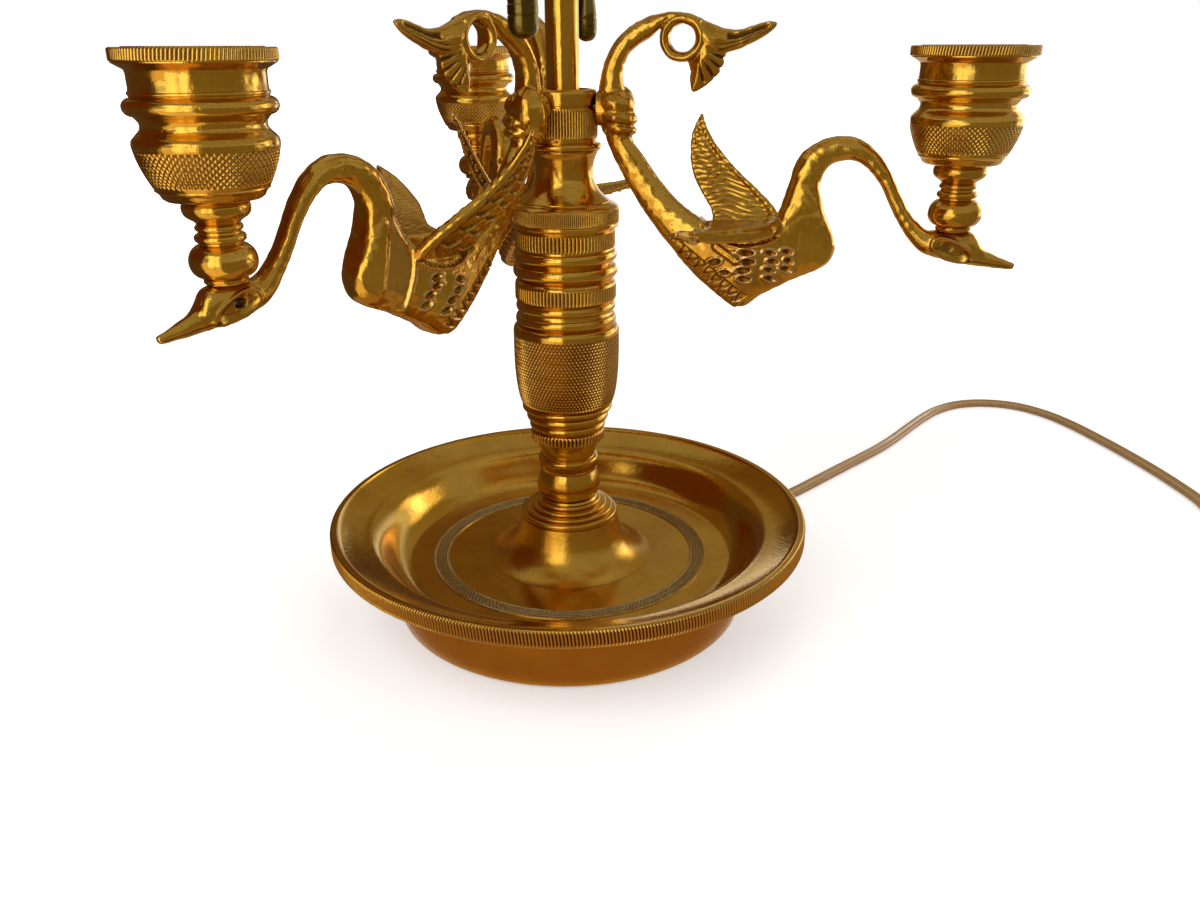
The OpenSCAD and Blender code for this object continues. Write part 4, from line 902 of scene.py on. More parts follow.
# Points round the fan and round a turned ring.
FAN_POINTS = 96
RING_POINTS = 72
BOSS_Z = 193.6
BOSS_R = 5.8
HUB_R = 12.2
VOXEL = 0.36
# The voxel steps are smoothed in rounds, each of which shrinks the solid and grows it back.
SMOOTH_ROUNDS = 9
SHRINK = 0.5
GROW = 0.52


class Wing:
    """Where one wing stands: its side of the arm, rise in degrees, the height of its root and
    how much thicker than usual it is."""

    def __init__(self, side, rise, root_z, thicker=0.0):
        self.side = side
        self.rise = rise
        self.thicker = thicker
        self.cos = math.cos(math.radians(rise))
        self.sin = math.sin(math.radians(rise))
        self.root = (WING_ROOT_Y, root_z)
        self.rows = through(WING, 6)

    def rings(self):
        made = []
        turn = np.arange(WING_POINTS) * TAU / WING_POINTS
        c = 0.5 - 0.5 * np.cos(turn)
        # The first section is sunk in the body and stands upright, the next one leans.
        rows = [(self.rows[0], 90, 1)] + [(row, self.rise, 0) for row in self.rows]
        rows[1] = (self.rows[0], (self.rise + 60) / 2, 0)
        for (share, trail, lead, half), tilt, sunk in rows:
            out = share * WING_LENGTH
            bow = WING_BOW * math.sin(math.pi * share)
            y0 = self.root[0] + out * self.cos + bow * self.sin - sunk
            z0 = self.root[1] + out * self.sin - bow * self.cos - WING_SUNK * sunk
            chord = lead - trail
            roll = min(2.4 - 1.3 * share + self.thicker, chord * 0.35)
            half += self.thicker
            lean = (math.cos(math.radians(tilt)), math.sin(math.radians(tilt)))
            edge = np.sqrt(np.maximum(0, roll ** 2 - (c * chord - roll) ** 2))
            plate = half * (0.62 - 0.12 * c) * (1 - np.abs(2 * c - 1) ** 9) ** 0.5
            thick = np.maximum(edge, plate) * np.sign(np.sin(turn))
            made.append(np.stack([lead - c * chord, self.side * (y0 - thick * lean[1]),
                                  z0 + thick * lean[0]], 1))
        return made[::self.side]

    def place(self, p):
        """Share of the length, share of the chord from its leading edge, and height off it."""
        y = self.side * p[:, 1] - self.root[0]
        z = p[:, 2] - self.root[1]
        share = (y * self.cos + z * self.sin) / WING_LENGTH
        off = z * self.cos - y * self.sin + WING_BOW * np.sin(math.pi * np.clip(share, 0, 1))
        trail = np.interp(share, self.rows[:, 0], self.rows[:, 1])
        lead = np.interp(share, self.rows[:, 0], self.rows[:, 2])
        return share, (lead - p[:, 0]) / (lead - trail), off


class Lump:
    """Closed solids that overlap, to be fused into one casting."""

    def __init__(self):
        self.points = []
        self.faces = []
        self.count = 0

    def loft(self, rings, looped=False):
        """Adds a tube through rings of points."""
        rings = np.asarray(rings)
        rows, m = rings.shape[:2]
        self.points.append(rings.reshape(-1, 3))
        self.faces += [[v + self.count for v in f] for f in tube_faces(rows, m, looped)]
        self.count += rows * m

    def swept(self, stations, power=2.3):
        """Adds a solid through stations of the arm's plane."""
        a = np.arange(36) * TAU / 36
        rings = []
        for s in through(stations, 6):
            # The thicker the section, the squarer it is.
            square = 2 / (power + 0.25 * max(0.0, s[4] - 5.5))
            u = np.sign(np.cos(a)) * np.abs(np.cos(a)) ** square
            w = np.sign(np.sin(a)) * np.abs(np.sin(a)) ** square
            middle = [(s[0] + s[2]) / 2, (s[1] + s[3]) / 2]
            arm = [(s[0] - s[2]) / 2, (s[1] - s[3]) / 2]
            rings.append(np.stack([middle[0] + arm[0] * u, s[4] * w * (1 - s[5] * (1 - u) / 2),
                                   middle[1] + arm[1] * u], 1))
        self.loft(rings)

    def ball(self, x, z, wide, high, tilt, y=0):
        """Adds a ball about a leaning axis, `wide` and `high` from its middle."""
        turn = math.radians(tilt)
        b = np.arange(32) * TAU / 32
        rings = []
        for k in range(1, 18):
            a = math.pi * k / 18
            px = wide * math.sin(a) * np.cos(b)
            pz = high * math.cos(a)
            rings.append(np.stack([x + px * math.cos(turn) + pz * math.sin(turn),
                                   y - wide * math.sin(a) * np.sin(b),
                                   z + pz * math.cos(turn) - px * math.sin(turn)], 1))
        self.loft(rings)

    def ring(self, x, z, line):
        """Adds a turned ring about an axis across the arm, its section a closed line (r, y)."""
        a = np.arange(RING_POINTS) * TAU / RING_POINTS
        self.loft([np.stack([x + r * np.cos(a), np.full(RING_POINTS, y), z + r * np.sin(a)], 1)
                   for r, y in line], looped=True)

    def fan(self):
        """Adds the solid fan of feathers under the scroll's eye."""
        rim = np.array(FAN_RIM) - FAN_CENTRE
        angle = np.arctan2(rim[:, 1], rim[:, 0])
        order = np.argsort(angle)
        turn = np.linspace(-math.pi, math.pi, FAN_POINTS + 1)[:-1]
        reach = np.interp(turn, angle[order], np.hypot(*rim.T)[order], period=TAU)
        rings = []
        for k in range(1, 24):
            a = math.pi * k / 24
            share = math.sin(a) ** 0.8
            side = math.copysign(abs(math.cos(a)) ** 0.4, math.cos(a))
            deep = (0.9 + 2.9 * (1 - share ** 1.5)) * side
            rings.append(np.stack([FAN_CENTRE[0] + share * reach * np.cos(turn),
                                   np.full(FAN_POINTS, deep),
                                   FAN_CENTRE[1] + share * reach * np.sin(turn)], 1))
        self.loft(rings)

    def fused(self):
        """The points and quads of the fused solid, its voxel steps not yet smoothed."""
        mesh = bpy.data.meshes.new("lump")
        mesh.from_pydata(np.concatenate(self.points).tolist(), [], self.faces)
        made = bpy.data.objects.new("lump", mesh)
        bpy.context.scene.collection.objects.link(made)
        modifier = made.modifiers.new("fuse", "REMESH")
        modifier.mode = "VOXEL"
        modifier.voxel_size = VOXEL
        whole = bpy.data.meshes.new_from_object(
            made.evaluated_get(bpy.context.evaluated_depsgraph_get()))
        points = np.empty(len(whole.vertices) * 3)
        whole.vertices.foreach_get("co", points)
        corners = np.empty(len(whole.loops), int)
        whole.loops.foreach_get("vertex_index", corners)
        bpy.data.objects.remove(made)
        bpy.data.meshes.remove(mesh)
        bpy.data.meshes.remove(whole)
        return points.reshape(-1, 3), corners.reshape(-1, 4)


def spread(quads, values):
    """The mean of each point's neighbours."""
    a = quads.ravel()
    b = np.roll(quads, -1, 1).ravel()
    n = len(values)
    count = np.bincount(a, minlength=n)
    if values.ndim == 1:
        return np.bincount(a, values[b], n) / count
    return np.stack([np.bincount(a, values[b, k], n) for k in range(3)], 1) / count[:, None]


def normals(points, quads):
    """The direction out of the solid at each point."""
    cross = np.cross(points[quads[:, 2]] - points[quads[:, 0]],
                     points[quads[:, 3]] - points[quads[:, 1]])
    total = np.stack([np.bincount(quads.ravel(), np.repeat(cross[:, k], 4), len(points))
                      for k in range(3)], 1)
    return total / np.maximum(np.linalg.norm(total, axis=1), 1e-12)[:, None]


def step(value, low, high):
    """A soft step from 0 at `low` to 1 at `high`."""
    share = np.clip((value - low) / (high - low), 0, 1)
    return share * share * (3 - 2 * share)


def band(value, low, high, soft):
    """1 from low to high, with soft steps outside them."""
    return step(value, low - soft, low) * (1 - step(value, high, high + soft))


def bell(value, width):
    """1 at 0, falling off over `width` on both sides."""
    return np.exp(-(value / width) ** 2)


def near_line(x, z, line):
    """Distance from a line through points, and the side: positive above it."""
    best = np.full(x.shape, 1e9)
    above = np.zeros(x.shape)
    for (x0, z0), (x1, z1) in zip(line[:-1], line[1:]):
        long = math.hypot(x1 - x0, z1 - z0)
        dx, dz = (x1 - x0) / long, (z1 - z0) / long
        t = np.clip((x - x0) * dx + (z - z0) * dz, 0, long)
        gap = np.hypot(x - x0 - t * dx, z - z0 - t * dz)
        side = np.sign((z - z0) * dx - (x - x0) * dz)
        above = np.where(gap < best, side, above)
        best = np.minimum(best, gap)
    return best * above


def wing_relief(p, wing):
    """Feathers of a wing: scales in three columns outside, wavy barbs inside."""
    share, chord, off = wing.place(p)
    on = (np.abs(off) < 3.2) * step(share, 0.05, 0.12) * (p[:, 1] * wing.side > 7)
    on = on * (1 - step(share, 0.8, 1.0)) if wing.side < 0 else on * (share < 1.03)
    face = band(chord, 0.3, 0.86, 0.05) * on
    column = (chord - 0.28) * 3.0
    across = 2 * (column % 1) - 1
    row = 6.4 * share + 3.6 * share ** 2 - 0.35 * across ** 2 + 0.5 * (np.floor(column) % 2)
    rise = row % 1
    outside = (off < 0) * face
    lift = outside * (1.15 * rise ** 1.4 - 0.5)
    # Painted shade in the recess above each scale's step.
    groove = outside * np.exp(-rise / 0.16)
    edge = bell(chord - 0.28, 0.03) * on * (off < 0)
    lift -= 0.35 * edge
    # Painted shade along the edge of the scaled face.
    groove += 0.6 * edge
    wave = (share * WING_LENGTH / 2.1 + 0.5 * np.sin(4.1 * chord + 6 * share)
            + 0.28 * np.sin(9.7 * chord + 13 * share + 1)
            + 0.16 * np.sin(21 * chord - 37 * share))
    crest = 1 - np.abs(2 * (wave % 1) - 1)
    height = 0.6 + 0.4 * np.sin(7.3 * chord + 23 * share) * np.sin(11 * share - 5 * chord + 2)
    inner = (off > 0) * band(chord, 0.06, 0.96, 0.04) * on
    inner = inner * (0.2 if wing.side < 0 else 1)
    lift += inner * 0.55 * height * (crest ** 1.8 - 0.35)
    # Painted shade in the troughs between the barbs.
    groove += inner * 0.4 * (1 - crest) ** 1.6
    return lift, groove


# Ringed scales on the two flanks: x, z, half length, half height and slant.
SCALES_LEFT = [
    (58.3, -46.7, 2.5, 1.35, 0.2), (58.2, -49.4, 2.5, 1.35, 0.1), (60.6, -52.0, 2.7, 1.4, 0.3),
    (61.8, -55.0, 2.6, 1.7, 0.4), (48.5, -48.9, 2.8, 1.4, -0.3), (49.3, -52.2, 3.0, 1.5, 0),
    (52.0, -55.0, 2.8, 1.4, 0.1), (54.3, -58.2, 2.8, 1.6, 0.2)]
SCALES_RIGHT = [
    (43.1, -50.6, 3.0, 1.5, -0.3), (46.8, -54.0, 2.5, 1.2, -0.1), (53.4, -52.9, 3.2, 1.35, -0.1),
    (53.8, -56.0, 2.9, 1.3, 0), (54.2, -46.6, 3.6, 1.2, 0), (54.8, -49.8, 3.1, 1.35, 0),
    (62.4, -46.6, 2.6, 1.2, 0.1), (68.2, -46.2, 2.4, 1.2, 0.2), (63.6, -49.6, 2.4, 1.3, 0.1),
    (69.0, -49.4, 2.1, 1.4, 0.3), (62.6, -52.7, 2.5, 1.2, 0.2), (68.2, -52.4, 2.6, 1.3, 0.3),
    (62.8, -55.8, 2.6, 1.2, 0.2)]
QUILL = [(43.5, -45.0), (50.6, -49.6)]
HEM = [(37.5, -37.0), (41.7, -40.5), (47.4, -43.6), (51.4, -44.4), (56.6, -44.0), (61, -42.8),
       (64, -41.5)]
FLANK_RIDGE = [(69.2, -56.0), (66.0, -44.8), (65.2, -39.4), (64.5, -33)]
BREAST_ROUND = [(79.0, -53.5), (76.5, -41), (73.9, -29.1)]
BEAK_LINE = [(129, -48.2), (134, -48.9), (143.5, -50.6)]
BAR_INNER = [(13, -9), (18, -17.5), (27, -29.5), (37, -38), (46, -41.5)]
TAIL_FROM = (28.6, -49.6)
TAIL_TO = (52.0, -67.0)


def flank_relief(p):
    """The feathered flanks: ringed scales, the wing's hem and the toothed tail edge."""
    x, y, z = p.T
    on = band(x, 30, 72, 2) * (np.abs(y) > 3) * (z < -37)
    lift = np.zeros(len(p))
    groove = np.zeros(len(p))
    for side, scales in ((1, SCALES_LEFT), (-1, SCALES_RIGHT)):
        here = on * (y * side > 0)
        for cx, cz, long, high, slant in scales:
            a = (x - cx) * math.cos(slant) - (z - cz) * math.sin(slant)
            b = (x - cx) * math.sin(slant) + (z - cz) * math.cos(slant)
            off = (np.hypot(a / long, b / high) - 1) * high
            rim = bell(off, 0.34)
            lift += here * (0.42 * rim - 1.0 * step(-off, 0.1, 0.9))
            # Painted shade inside each scale and a painted highlight on its rim.
            groove += here * (0.6 * step(-off, 0.3, 0.9) - 0.9 * rim)
    quill = near_line(x, z, QUILL)
    lift += on * (y < 0) * (0.7 * bell(quill, 0.9) - 0.6 * bell(quill, 0.3))
    # Painted shade in the lines beside the quill.
    groove += on * (y < 0) * bell(np.abs(quill) - 1.5, 0.4)
    hem = near_line(x, z, HEM)
    lift += on * (0.6 * bell(hem + 0.6, 0.5) - 0.5 * bell(hem - 0.6, 0.5))
    dashes = 0.5 + 0.5 * np.sin(x * TAU / 1.8)
    # Painted shade for small dashes along the hem, which have no depth of their own.
    groove += on * dashes * bell(hem - 0.5, 0.5)
    long = math.hypot(TAIL_TO[0] - TAIL_FROM[0], TAIL_TO[1] - TAIL_FROM[1])
    dx = (TAIL_TO[0] - TAIL_FROM[0]) / long
    dz = (TAIL_TO[1] - TAIL_FROM[1]) / long
    along = (x - TAIL_FROM[0]) * dx + (z - TAIL_FROM[1]) * dz
    inward = (z - TAIL_FROM[1]) * dx - (x - TAIL_FROM[0]) * dz
    # A saw of triangles with their bases on the tail's edge.
    ridge = 1 - np.abs(2 * ((along - 0.35 * inward) / 3.7 % 1) - 1)
    zigzag = ridge - (inward - 0.8) / 4.6
    edge = (np.abs(y) > 2.5) * band(inward, -0.6, 5.4, 0.5) * band(along, 0, long - 1, 1)
    lift += edge * (1.15 * step(zigzag, -0.14, 0.14) - 0.7)
    # Painted shade at the teeth's edges and a painted highlight on the teeth.
    groove += edge * (1.3 * bell(zigzag + 0.18, 0.14) - 0.9 * step(zigzag, -0.05, 0.1))
    # The flat, pitted facet between the flank's last ridge and the round of the breast, sunk, and
    # paler as a painted highlight with some wear.
    from_ridge = near_line(x, z, FLANK_RIDGE)
    from_round = near_line(x, z, BREAST_ROUND)
    facet = step(-from_ridge, 0, 1.2) * step(from_round, 0, 2.5) * band(z, -53, -27, 3)
    facet = facet * (y > 2)
    beside = band(z, -54, -38, 2) * (y > 3)
    knob = bell(np.hypot(x - 69.8, z + 55), 1.4) * (y > 3)
    lift += 0.35 * bell(from_ridge, 0.8) * beside + 0.8 * knob - 0.9 * facet
    # A painted highlight along the ridge.
    groove -= 0.3 * bell(from_ridge, 0.7) * beside
    return lift, groove - 0.25 * facet


def fan_relief(p):
    """Grooves between the feathers of the fan and along the long feather."""
    x, _, z = p.T
    across = x - FAN_CENTRE[0] + 3.2
    up = z - FAN_CENTRE[1] - 1.5
    turn = np.degrees(np.arctan2(up, across))
    reach = np.hypot(up, across)
    feather = (turn + 91) / 17.5
    cut = bell(0.5 - np.abs(feather % 1 - 0.5), 0.15)
    on = band(turn, -84, -8, 3) * step(reach, 4, 9) * (x > 30) * (1 - step(reach, 11.2, 12.8))
    lift = -on * 0.9 * cut
    # Painted shade in the cuts between the feathers.
    groove = on * cut
    along = [station[0] for station in LONG_FEATHER]
    top = np.interp(x, along, [station[1] for station in LONG_FEATHER])
    bottom = np.interp(x, along, [station[3] for station in LONG_FEATHER])
    height = (z - bottom) / np.maximum(top - bottom, 1)
    on = band(x, 42.5, 58.5, 2.5) * band(height, 0.02, 0.98, 0.1)
    slot = band(height, 0.56, 0.8, 0.07) * band(x, 45, 56.5, 1.5)
    line = bell(height - 0.33, 0.05) + bell(height - 0.12, 0.05)
    lift -= on * (1.0 * slot + 0.5 * line)
    # Painted shade in the long feather's slot and its lines.
    groove += on * np.clip(slot + 0.8 * line, 0, 1)
    return lift, groove


def head_relief(p):
    """The bird's face: a ringed hollow round the eye, a brow, and the line of the beak."""
    x, y, z = p.T
    on = step(x, 114, 116.5) * (np.abs(y) > 1)
    a = (x - 122.6) * 0.93 - (z + 44.6) * 0.37
    b = (x - 122.6) * 0.37 + (z + 44.6) * 0.93
    r = np.hypot(np.where(a > 0, a / 8.2, a / 6.2), b / 3.3)
    ring = bell(r - 1, 0.13)
    hollow = 1 - step(r, 0.55, 0.95)
    eye = (1 - step(np.hypot(a + 0.6, b) / 2.1, 0.5, 1.0)) * (0.15 + 0.85 * (y > 0))
    crest = bell(np.hypot(a + 4.4, b - 1.2) - 1.4, 0.4)
    lift = on * (0.7 * ring - 1.25 * hollow + 0.6 * crest * hollow - 1.7 * eye)
    # Painted shade in the hollow round the eye, in the eye itself and on the ring's lower half.
    groove = on * (0.5 * hollow + eye + 0.35 * ring * (b < 0))
    line = on * (x > 128.5) * (x < 144) * bell(near_line(x, z, BEAK_LINE), 0.4)
    # Painted shade along the line of the beak.
    return lift - 0.4 * line, groove + 0.8 * line


def rough_relief(p):
    """The cast skin: crumpled bands at the knuckle, and a rough inner face along the bar."""
    x, y, z = p.T
    knuckle = band(x, 1, 14, 1.5) * band(z, -9, 6.5, 1.5)
    crumple = (np.sin(1.6 * z + 1.3 * np.sin(0.9 * y + 0.6 * x)) * np.sin(1.2 * y + 0.9 * z)
               + 0.6 * np.sin(1.9 * x + 1.6 * y) * np.sin(1.5 * z))
    bar = band(x, 12, 48, 2) * bell(near_line(x, z, BAR_INNER), 2.4)
    grain = np.sin(5.1 * x + 2 * np.sin(3.3 * y)) * np.sin(4.3 * z + 2.7 * y)
    knuckle = knuckle * (0.25 + 0.75 * (y < 1))
    uneven = (np.sin(0.9 * x + 1.7 * np.sin(0.45 * z))
              * np.sin(0.8 * z + 0.7 * y + 1.3 * np.sin(0.5 * x)))
    lift = 0.09 * knuckle * crumple + 0.07 * bar * grain + 0.1 * uneven
    # Painted shade in the knuckle's creases and along the bar's inner face.
    groove = 0.12 * knuckle * np.clip(-crumple, 0, 1) + 0.2 * bar
    return lift, groove


def make_arm(name, angle, low_rise, low_root):
    """One casting, its upper wing on its left and a lower one on its right."""
    wings = [Wing(1, 59, -42), Wing(-1, low_rise, low_root, 0.5)]
    lump = Lump()
    lump.swept(SWAN)
    lump.swept(SCROLL)
    lump.swept(LONG_FEATHER, power=2)
    lump.fan()
    lump.ring(*EYE, EYE_SECTION)
    for x, z, wide, high in KNUCKLE:
        lump.ball(x, z, wide, high, 12, -0.9)
    lump.ball(6.9, -1.6, 6.3, 9.4, 8, 2.0)
    a = np.arange(40) * TAU / 40
    lump.loft([np.stack([np.full(40, x), BOSS_R * np.cos(a), BOSS_R * np.sin(a)], 1)
               for x in (0.05, 2.0, 4.0)])
    for wing in wings:
        lump.loft(wing.rings())
    points, quads = lump.fused()
    for _ in range(SMOOTH_ROUNDS):
        points = points + SHRINK * (spread(quads, points) - points)
        points = points - GROW * (spread(quads, points) - points)
    lift = np.zeros(len(points))
    groove = np.zeros(len(points))
    reliefs = [wing_relief(points, wing) for wing in wings]
    reliefs += [relief(points) for relief in (flank_relief, fan_relief, head_relief, rough_relief)]
    for more, dark in reliefs:
        lift += more
        groove += dark
    points = points + normals(points, quads) * lift[:, None]
    # Hollows get painted shade with some patina, and convex edges a painted highlight with some
    # wear.
    hollow = np.einsum("ij,ij->i", spread(quads, points) - points, normals(points, quads))
    for _ in range(3):
        hollow = spread(quads, hollow)
    groove += np.clip(hollow * 9, 0, 0.7) + np.clip(hollow * 14 + 0.25, -0.9, 0)
    turn = math.radians(angle)
    x = points[:, 0] + HUB_R
    world = np.stack([x * math.cos(turn) - points[:, 1] * math.sin(turn),
                      x * math.sin(turn) + points[:, 1] * math.cos(turn),
                      points[:, 2] + BOSS_Z], 1)
    piece("casting_" + name, world, quads.tolist(), CAST, groove=np.clip(groove, -1, 1),
          nodes=(name,), crease=80)


make_arm("arm_left", -130.24, 24.5, -37.5)
make_arm("arm_right", -10.24, 4.5, -37.5)
make_arm("arm_rear", 109.76, 8.5, -37.5)

# ---------------------------------------------------------------- pulls

# What there is two of: pulls, sockets and bulbs.
ENDS = ("front", "rear")


def pull_line(r, h):
    return ([(0, 0)] + curve((0, 0), (2.6, 0), (r - 0.1, 1.6), (r, 4.2), 10)
            + [(r, 5.6), (r - 0.2, 5.8), (r - 0.2, 6.1), (r - 0.02, 6.3), (r - 0.02, 8.4),
               (r - 0.2, 8.6), (r - 0.2, 8.9), (r - 0.1, 9.2)]
            + curve((r - 0.1, 9.2), (r - 0.3, 13), (r - 1.0, 16), (r - 1.2, 19.2), 8)
            + [(r - 0.9, 19.5), (r - 0.4, 20.0), (r - 0.35, 21.2), (r - 0.7, 21.7)]
            + curve((r - 0.7, 21.7), (2.6, 22.6), (1.7, 23.2), (1.6, h), 5)
            + [(0, h)])


for end in ENDS:
    node = "bell_pull_" + end
    z0, z1, r = span(node)
    over_node("bell_" + end, node, pull_line(r, z1 - z0), BRONZE, 96, body="pull_" + end)

# ---------------------------------------------------------------- sockets, bulbs and shade

SCREW_PITCH = 3.63
GLASS_WALL = 1.0
SHADE_LOW_R = 180
SHADE_TOP_R = 128
SHADE_WALL = 0.3
# Radius of the rolled edges, and how far from the shade's end the wall meets them.
ROLL = 1.2
ROLL_MEETS = 1.97 * ROLL


def cap_line():
    return ([(0, 0), (8.2, 0), (8.6, 0.3), (8.6, 1.5), (9.4, 2.0)]
            + curve((9.4, 2.0), (14.5, 2.1), (19.0, 4.4), (19.5, 8.4), 14)
            + bead(20.05, 9.9, 0.6, 1.8)
            + [(19.4, 11.0), (19.8, 11.3), (20.0, 11.5), (20.0, 13.4), (19.6, 14), (18.8, 14),
               (18.8, 12), (0, 12)])


def base_line(r):
    return [(0, 0), (4, 0), (4.8, 0.5), (5.2, 1.6), (6.6, 2.2), (9, 3.6), (r - 0.9, 4.6),
            (r - 0.1, 5.6), (r - 0.1, 23.4), (r - 0.4, 24), (0, 24)]


def glass_line(wall):
    """Half the outline of the blown glass, `wall` inside its outer face."""
    neck = 12.6 - wall
    r = 24 - wall
    top = 66 - wall
    return ([(0, wall), (neck, wall)] + curve((neck, wall), (neck, 14), (r, 20), (r, 40), 24)
            + curve((r, 40), (r, top - 10), (r * 0.54, top), (0, top), 24))


def finial_line():
    return ([(0, 0), (4.6, 0), (4.6, 8), (8, 8)] + bead(9.1, 9.8, 1.3, 2.8) + [(7.6, 11.4)]
            + curve((7.6, 11.4), (5, 12.2), (3.7, 14), (3.6, 15.4), 8) + bead(5.1, 16.6, 1.5, 2.2)
            + [(3.4, 17.9)] + curve((3.4, 17.9), (8, 18.4), (9.4, 21.6), (9.4, 25), 14)
            + curve((9.4, 25), (9.4, 28.4), (7, 30.8), (3.6, 31.2), 14) + [(3.7, 31.6)]
            + bead(4.6, 32.2, 0.7, 1.0, 6) + curve((3.9, 32.8), (3.2, 35), (2.4, 37), (0, 39), 10))


def thread(low, high):
    """The rolled screw thread of a bulb's base."""
    def relief(r, z, t):
        wave = 0.5 - 0.5 * np.cos(TAU * (z / SCREW_PITCH - t / TAU))
        cut = wave * inside(z, low, high, 1.0) * (r > 12)
        return -0.8 * cut, 0.5 * cut
    return relief


def make_sockets():
    wall = glass_line(0) + glass_line(GLASS_WALL)[::-1]
    for end in ENDS:
        node = "socket_cap_" + end
        z0 = span(node)[0]
        over_node("cap_" + end, node, cap_line(), POLISHED, 960, step=0.5, fine=(z0 + 11, z0 + 14),
                  relief=flutes(120, 0.4, z0 + 11.6, z0 + 13.3, 0.7))
        node = "bulb_base_" + end
        z0, z1, r = span(node)
        over_node("screw_" + end, node, base_line(r), STEEL, 96, step=0.4,
                  relief=thread(z0 + 7, z1 - 3.4), body="bulb_" + end)
        over_node("glass_" + end, "bulb_glass_" + end, wall, FROSTED, 96, body="bulb_" + end)


def make_shade():
    z0, z1, _ = span("shade_shell")

    def wall_r(z):
        rise = (z - z0 - ROLL_MEETS) / (z1 - z0 - 2 * ROLL_MEETS)
        return SHADE_LOW_R + (SHADE_TOP_R - SHADE_LOW_R) * rise

    def roll(r, z, start, end):
        turn = np.radians(np.linspace(start, end, 16))
        middle = r - SHADE_WALL
        return np.stack([middle + ROLL * np.cos(turn), z + ROLL * np.sin(turn)], 1).tolist()

    def painted(r, z, _):
        """Gilt: a line round the outside near each end, and both rolls."""
        outside = r > wall_r(z) - SHADE_WALL
        line = inside(z, z0 + 9, z0 + 11, 0.3) + inside(z, z1 - 10, z1 - 8.4, 0.3)
        edge = np.maximum(inside(z, z0, z0 + 2 * ROLL, 0.1), inside(z, z1 - 2 * ROLL, z1, 0.1))
        return np.zeros_like(r), np.maximum(line * outside, edge)

    outline = (roll(SHADE_LOW_R, z0 + ROLL, 104.5, 435.5)
               + roll(SHADE_TOP_R, z1 - ROLL, -75.5, 255.5))
    lathe("shade_tole", outline, TOLE, 300, step=0.5, relief=painted, body="shade",
          satin=lambda r, z: (r < wall_r(z) - SHADE_WALL).astype(float), nodes=("shade_shell",))


make_sockets()
make_shade()
lathe("finial_turned", raised(finial_line(), span("finial")[0]), POLISHED, 120,
      nodes=("finial",))

# ---------------------------------------------------------------- CAD nodes that stay

KEPT = {
    IRON: ["base_weight"],
    STEEL: ["base_washer", "tie_pipe", "arm_screws", "cup_studs"],
    VINYL: ["cord_bushing", "plug_body"],
    PORCELAIN: ["socket_core_front", "socket_core_rear"],
    POLISHED: ["base_nut", "plug_blades", "socket_cluster", "cluster_screw", "socket_shell_front",
               "socket_shell_rear", "pull_chain_front", "pull_chain_rear", "shade_spider",
               "shade_carrier", "carrier_nut", "thumb_key"]}

for material, names in KEPT.items():
    for name in names:
        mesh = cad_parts[name].data
        mesh.materials.clear()
        mesh.materials.append(material)

# ---------------------------------------------------------------- stage and light

FLOOR_REACH = 12000
CARD_STEP = 3
SUN_SPREAD = 50
TAN = (0.40, 0.24, 0.11)
DIM = (0.23, 0.18, 0.10)
DARK = (0.10, 0.055, 0.025)
BRIGHT = (1.05, 0.80, 0.46)
WARM = (1.0, 0.86, 0.62)
# Cards: name, first and last angle, inner and outer edge, colour and strength.
CARDS = [
    ("table_near", -180, 180, (72, 0.3), (200, 0.3), TAN, 1),
    ("table_right", -96, 8, (200, 0.3), (985, 0.3), DIM, 1),
    ("table_left", 8, 50, (200, 0.3), (395, 0.3), BRIGHT, 1),
    ("table_left_dark", 50, 180, (200, 0.3), (985, 0.3), DARK, 1),
    ("table_right_back", -180, -96, (200, 0.3), (985, 0.3), (0.56, 0.44, 0.32), 1),
    ("wall_right", -96, 8, (990, 0), (990, 420), DIM, 1),
    ("wall_left", 8, 50, (405, 0), (405, 180), BRIGHT, 1),
    ("wall_left_back", 50, 180, (990, 0), (990, 420), DARK, 1),
    ("window", 9, 34, (400, 90), (400, 470), (1.0, 0.93, 0.76), 2),
    ("frame_bar", 20, 22, (396, 0), (396, 470), (0.2, 0.13, 0.06), 1),
    ("lamp_glint", -128, -118, (900, 60), (900, 460), (1.0, 0.86, 0.78), 3),
    ("wall_back", 125, 176, (990, 421), (990, 1150), (0.17, 0.095, 0.025), 1),
    ("wall_back_right", 176, 250, (990, 421), (990, 1150), (0.30, 0.235, 0.12), 1),
    ("cabinet", 52, 125, (960, 270), (960, 1250), (0.12, 0.035, 0.008), 1),
    ("window_far_a", -138, -123, (940, 300), (940, 560), WARM, 1.5),
    ("window_far_b", -120, -105, (940, 300), (940, 560), WARM, 1.5),
    ("window_high", 31, 44, (880, 620), (880, 960), (1.0, 0.85, 0.55), 2)]
# Suns: name, angle, rise in degrees and strength.
SUNS = [("sun_key", 50, 48, 1.25), ("sun_fill", -55, 38, 0.7), ("sun_back", -150, 45, 0.6)]


def surface(name, points, faces, material):
    mesh = bpy.data.meshes.new(name)
    mesh.from_pydata((np.asarray(points, float) * MM).tolist(), [], faces)
    mesh.materials.append(material)
    made = bpy.data.objects.new(name, mesh)
    bpy.context.scene.collection.objects.link(made)
    return made


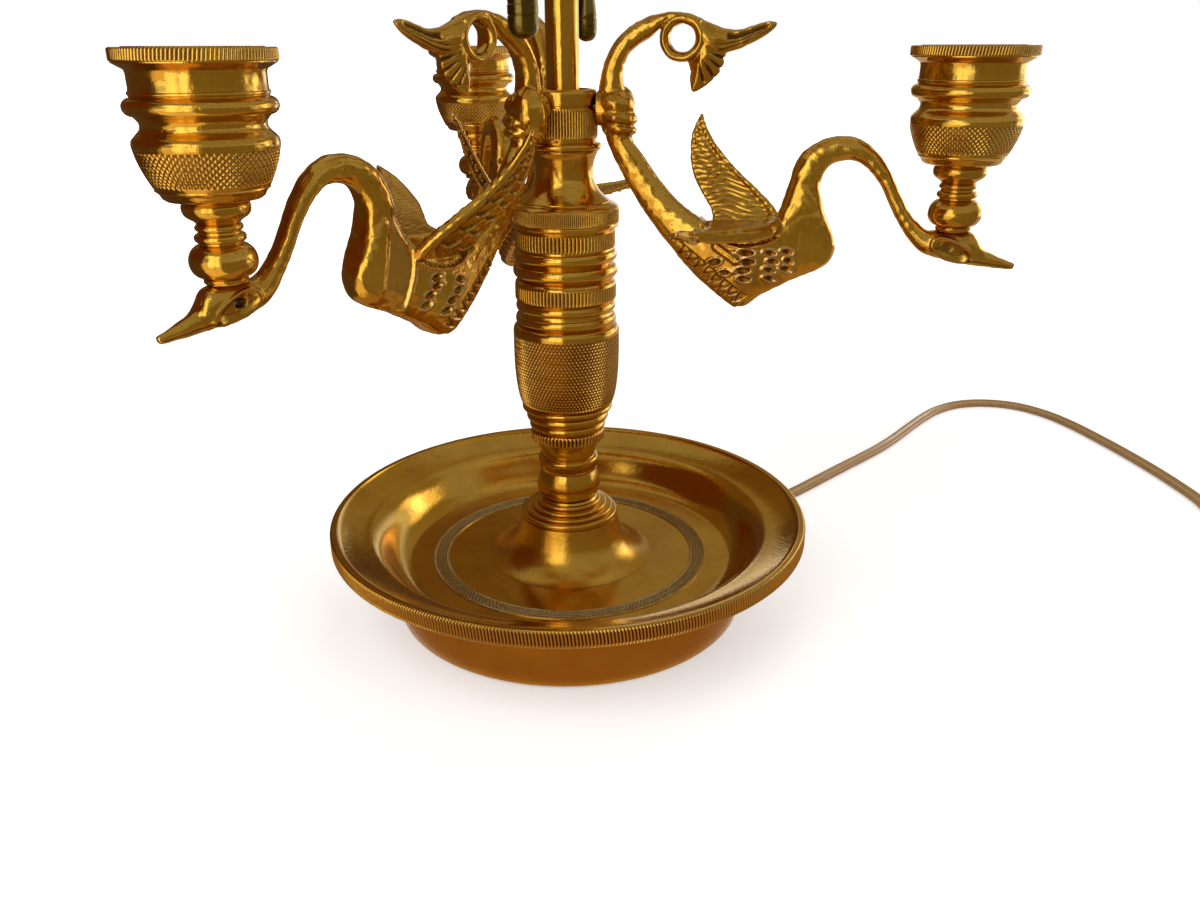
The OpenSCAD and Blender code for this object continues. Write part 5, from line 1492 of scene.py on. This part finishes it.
def floor_material():
    """A pale matt floor that reads white to the camera and in reflections, with its shadows."""
    s = Shader("floor_white")
    seen = s.math("MAXIMUM", s.ray("Camera"),
                  s.math("MAXIMUM", s.ray("Glossy"), s.ray("Transmission")))
    away = s.node("VectorMath", "Value", (0, s.place()), operation="LENGTH")
    glow = s.ramp(away, 0.4, 1.6, 0.42, 0.9)
    s.set(Base_Color=rgb(0.84, 0.84, 0.84), Roughness=0.9, Specular_IOR_Level=0.0,
          Emission_Color=rgb(1, 1, 1), Emission_Strength=s.math("MULTIPLY", seen, glow))
    return s.made


def card_material(name, colour, strength):
    s = Shader(name)
    s.set(Base_Color=rgb(0, 0, 0), Specular_IOR_Level=0.0, Emission_Color=rgb(*colour),
          Emission_Strength=strength)
    return s.made


def card(name, start, end, inner, outer, colour, strength):
    """A studio card that only reflections see, from `start` to `end` degrees left of the
    camera's side. `inner` and `outer` are the (distance, height) of its two edges."""
    n = max(2, int(abs(end - start) / CARD_STEP) + 1)
    turn = np.radians(np.linspace(start, end, n))
    rim = [np.stack([-d * np.sin(turn), -d * np.cos(turn), np.full(n, h)], 1)
           for d, h in (inner, outer)]
    faces = [(i, i + 1, n + i + 1, n + i) for i in range(n - 1)]
    made = surface(name, np.concatenate(rim), faces, card_material(name, colour, strength))
    for ray in ("camera", "diffuse", "shadow", "transmission", "volume_scatter"):
        setattr(made, "visible_" + ray, False)


def sun(name, turn, rise, strength):
    """Soft light from `turn` degrees left of the camera's side. Its disc isn't reflected."""
    data = bpy.data.lights.new(name, "SUN")
    data.energy = strength
    data.angle = math.radians(SUN_SPREAD)
    made = bpy.data.objects.new(name, data)
    bpy.context.scene.collection.objects.link(made)
    turn = math.radians(turn)
    rise = math.radians(rise)
    towards = Vector((-math.sin(turn) * math.cos(rise), -math.cos(turn) * math.cos(rise),
                      math.sin(rise)))
    made.rotation_euler = towards.to_track_quat("Z", "Y").to_euler()
    made.visible_glossy = False


def make_world():
    """White where it is seen. Its light and its reflection are white low down and dim overhead."""
    s = Shader("studio", "worlds")
    up = s.node("SeparateXYZ", "Z", (0, s.node("TexCoord", "Generated")))
    seen = s.math("MAXIMUM", s.ray("Camera"), s.ray("Transmission"))
    high = s.math("SUBTRACT", s.ramp(up, 0.10, 0.34), seen)
    s.feed(s.nodes["Background"].inputs["Color"],
           s.mix(high, rgb(1, 1, 1), rgb(0.36, 0.335, 0.30)))
    bpy.context.scene.world = s.made


corners = [(x * FLOOR_REACH, y * FLOOR_REACH, 0) for x, y in ((-1, -1), (1, -1), (1, 1), (-1, 1))]
surface("floor", corners, [(0, 1, 2, 3)], floor_material())
for item in CARDS:
    card(*item)
for item in SUNS:
    sun(*item)
make_world()
bpy.context.scene.view_settings.view_transform = "Standard"
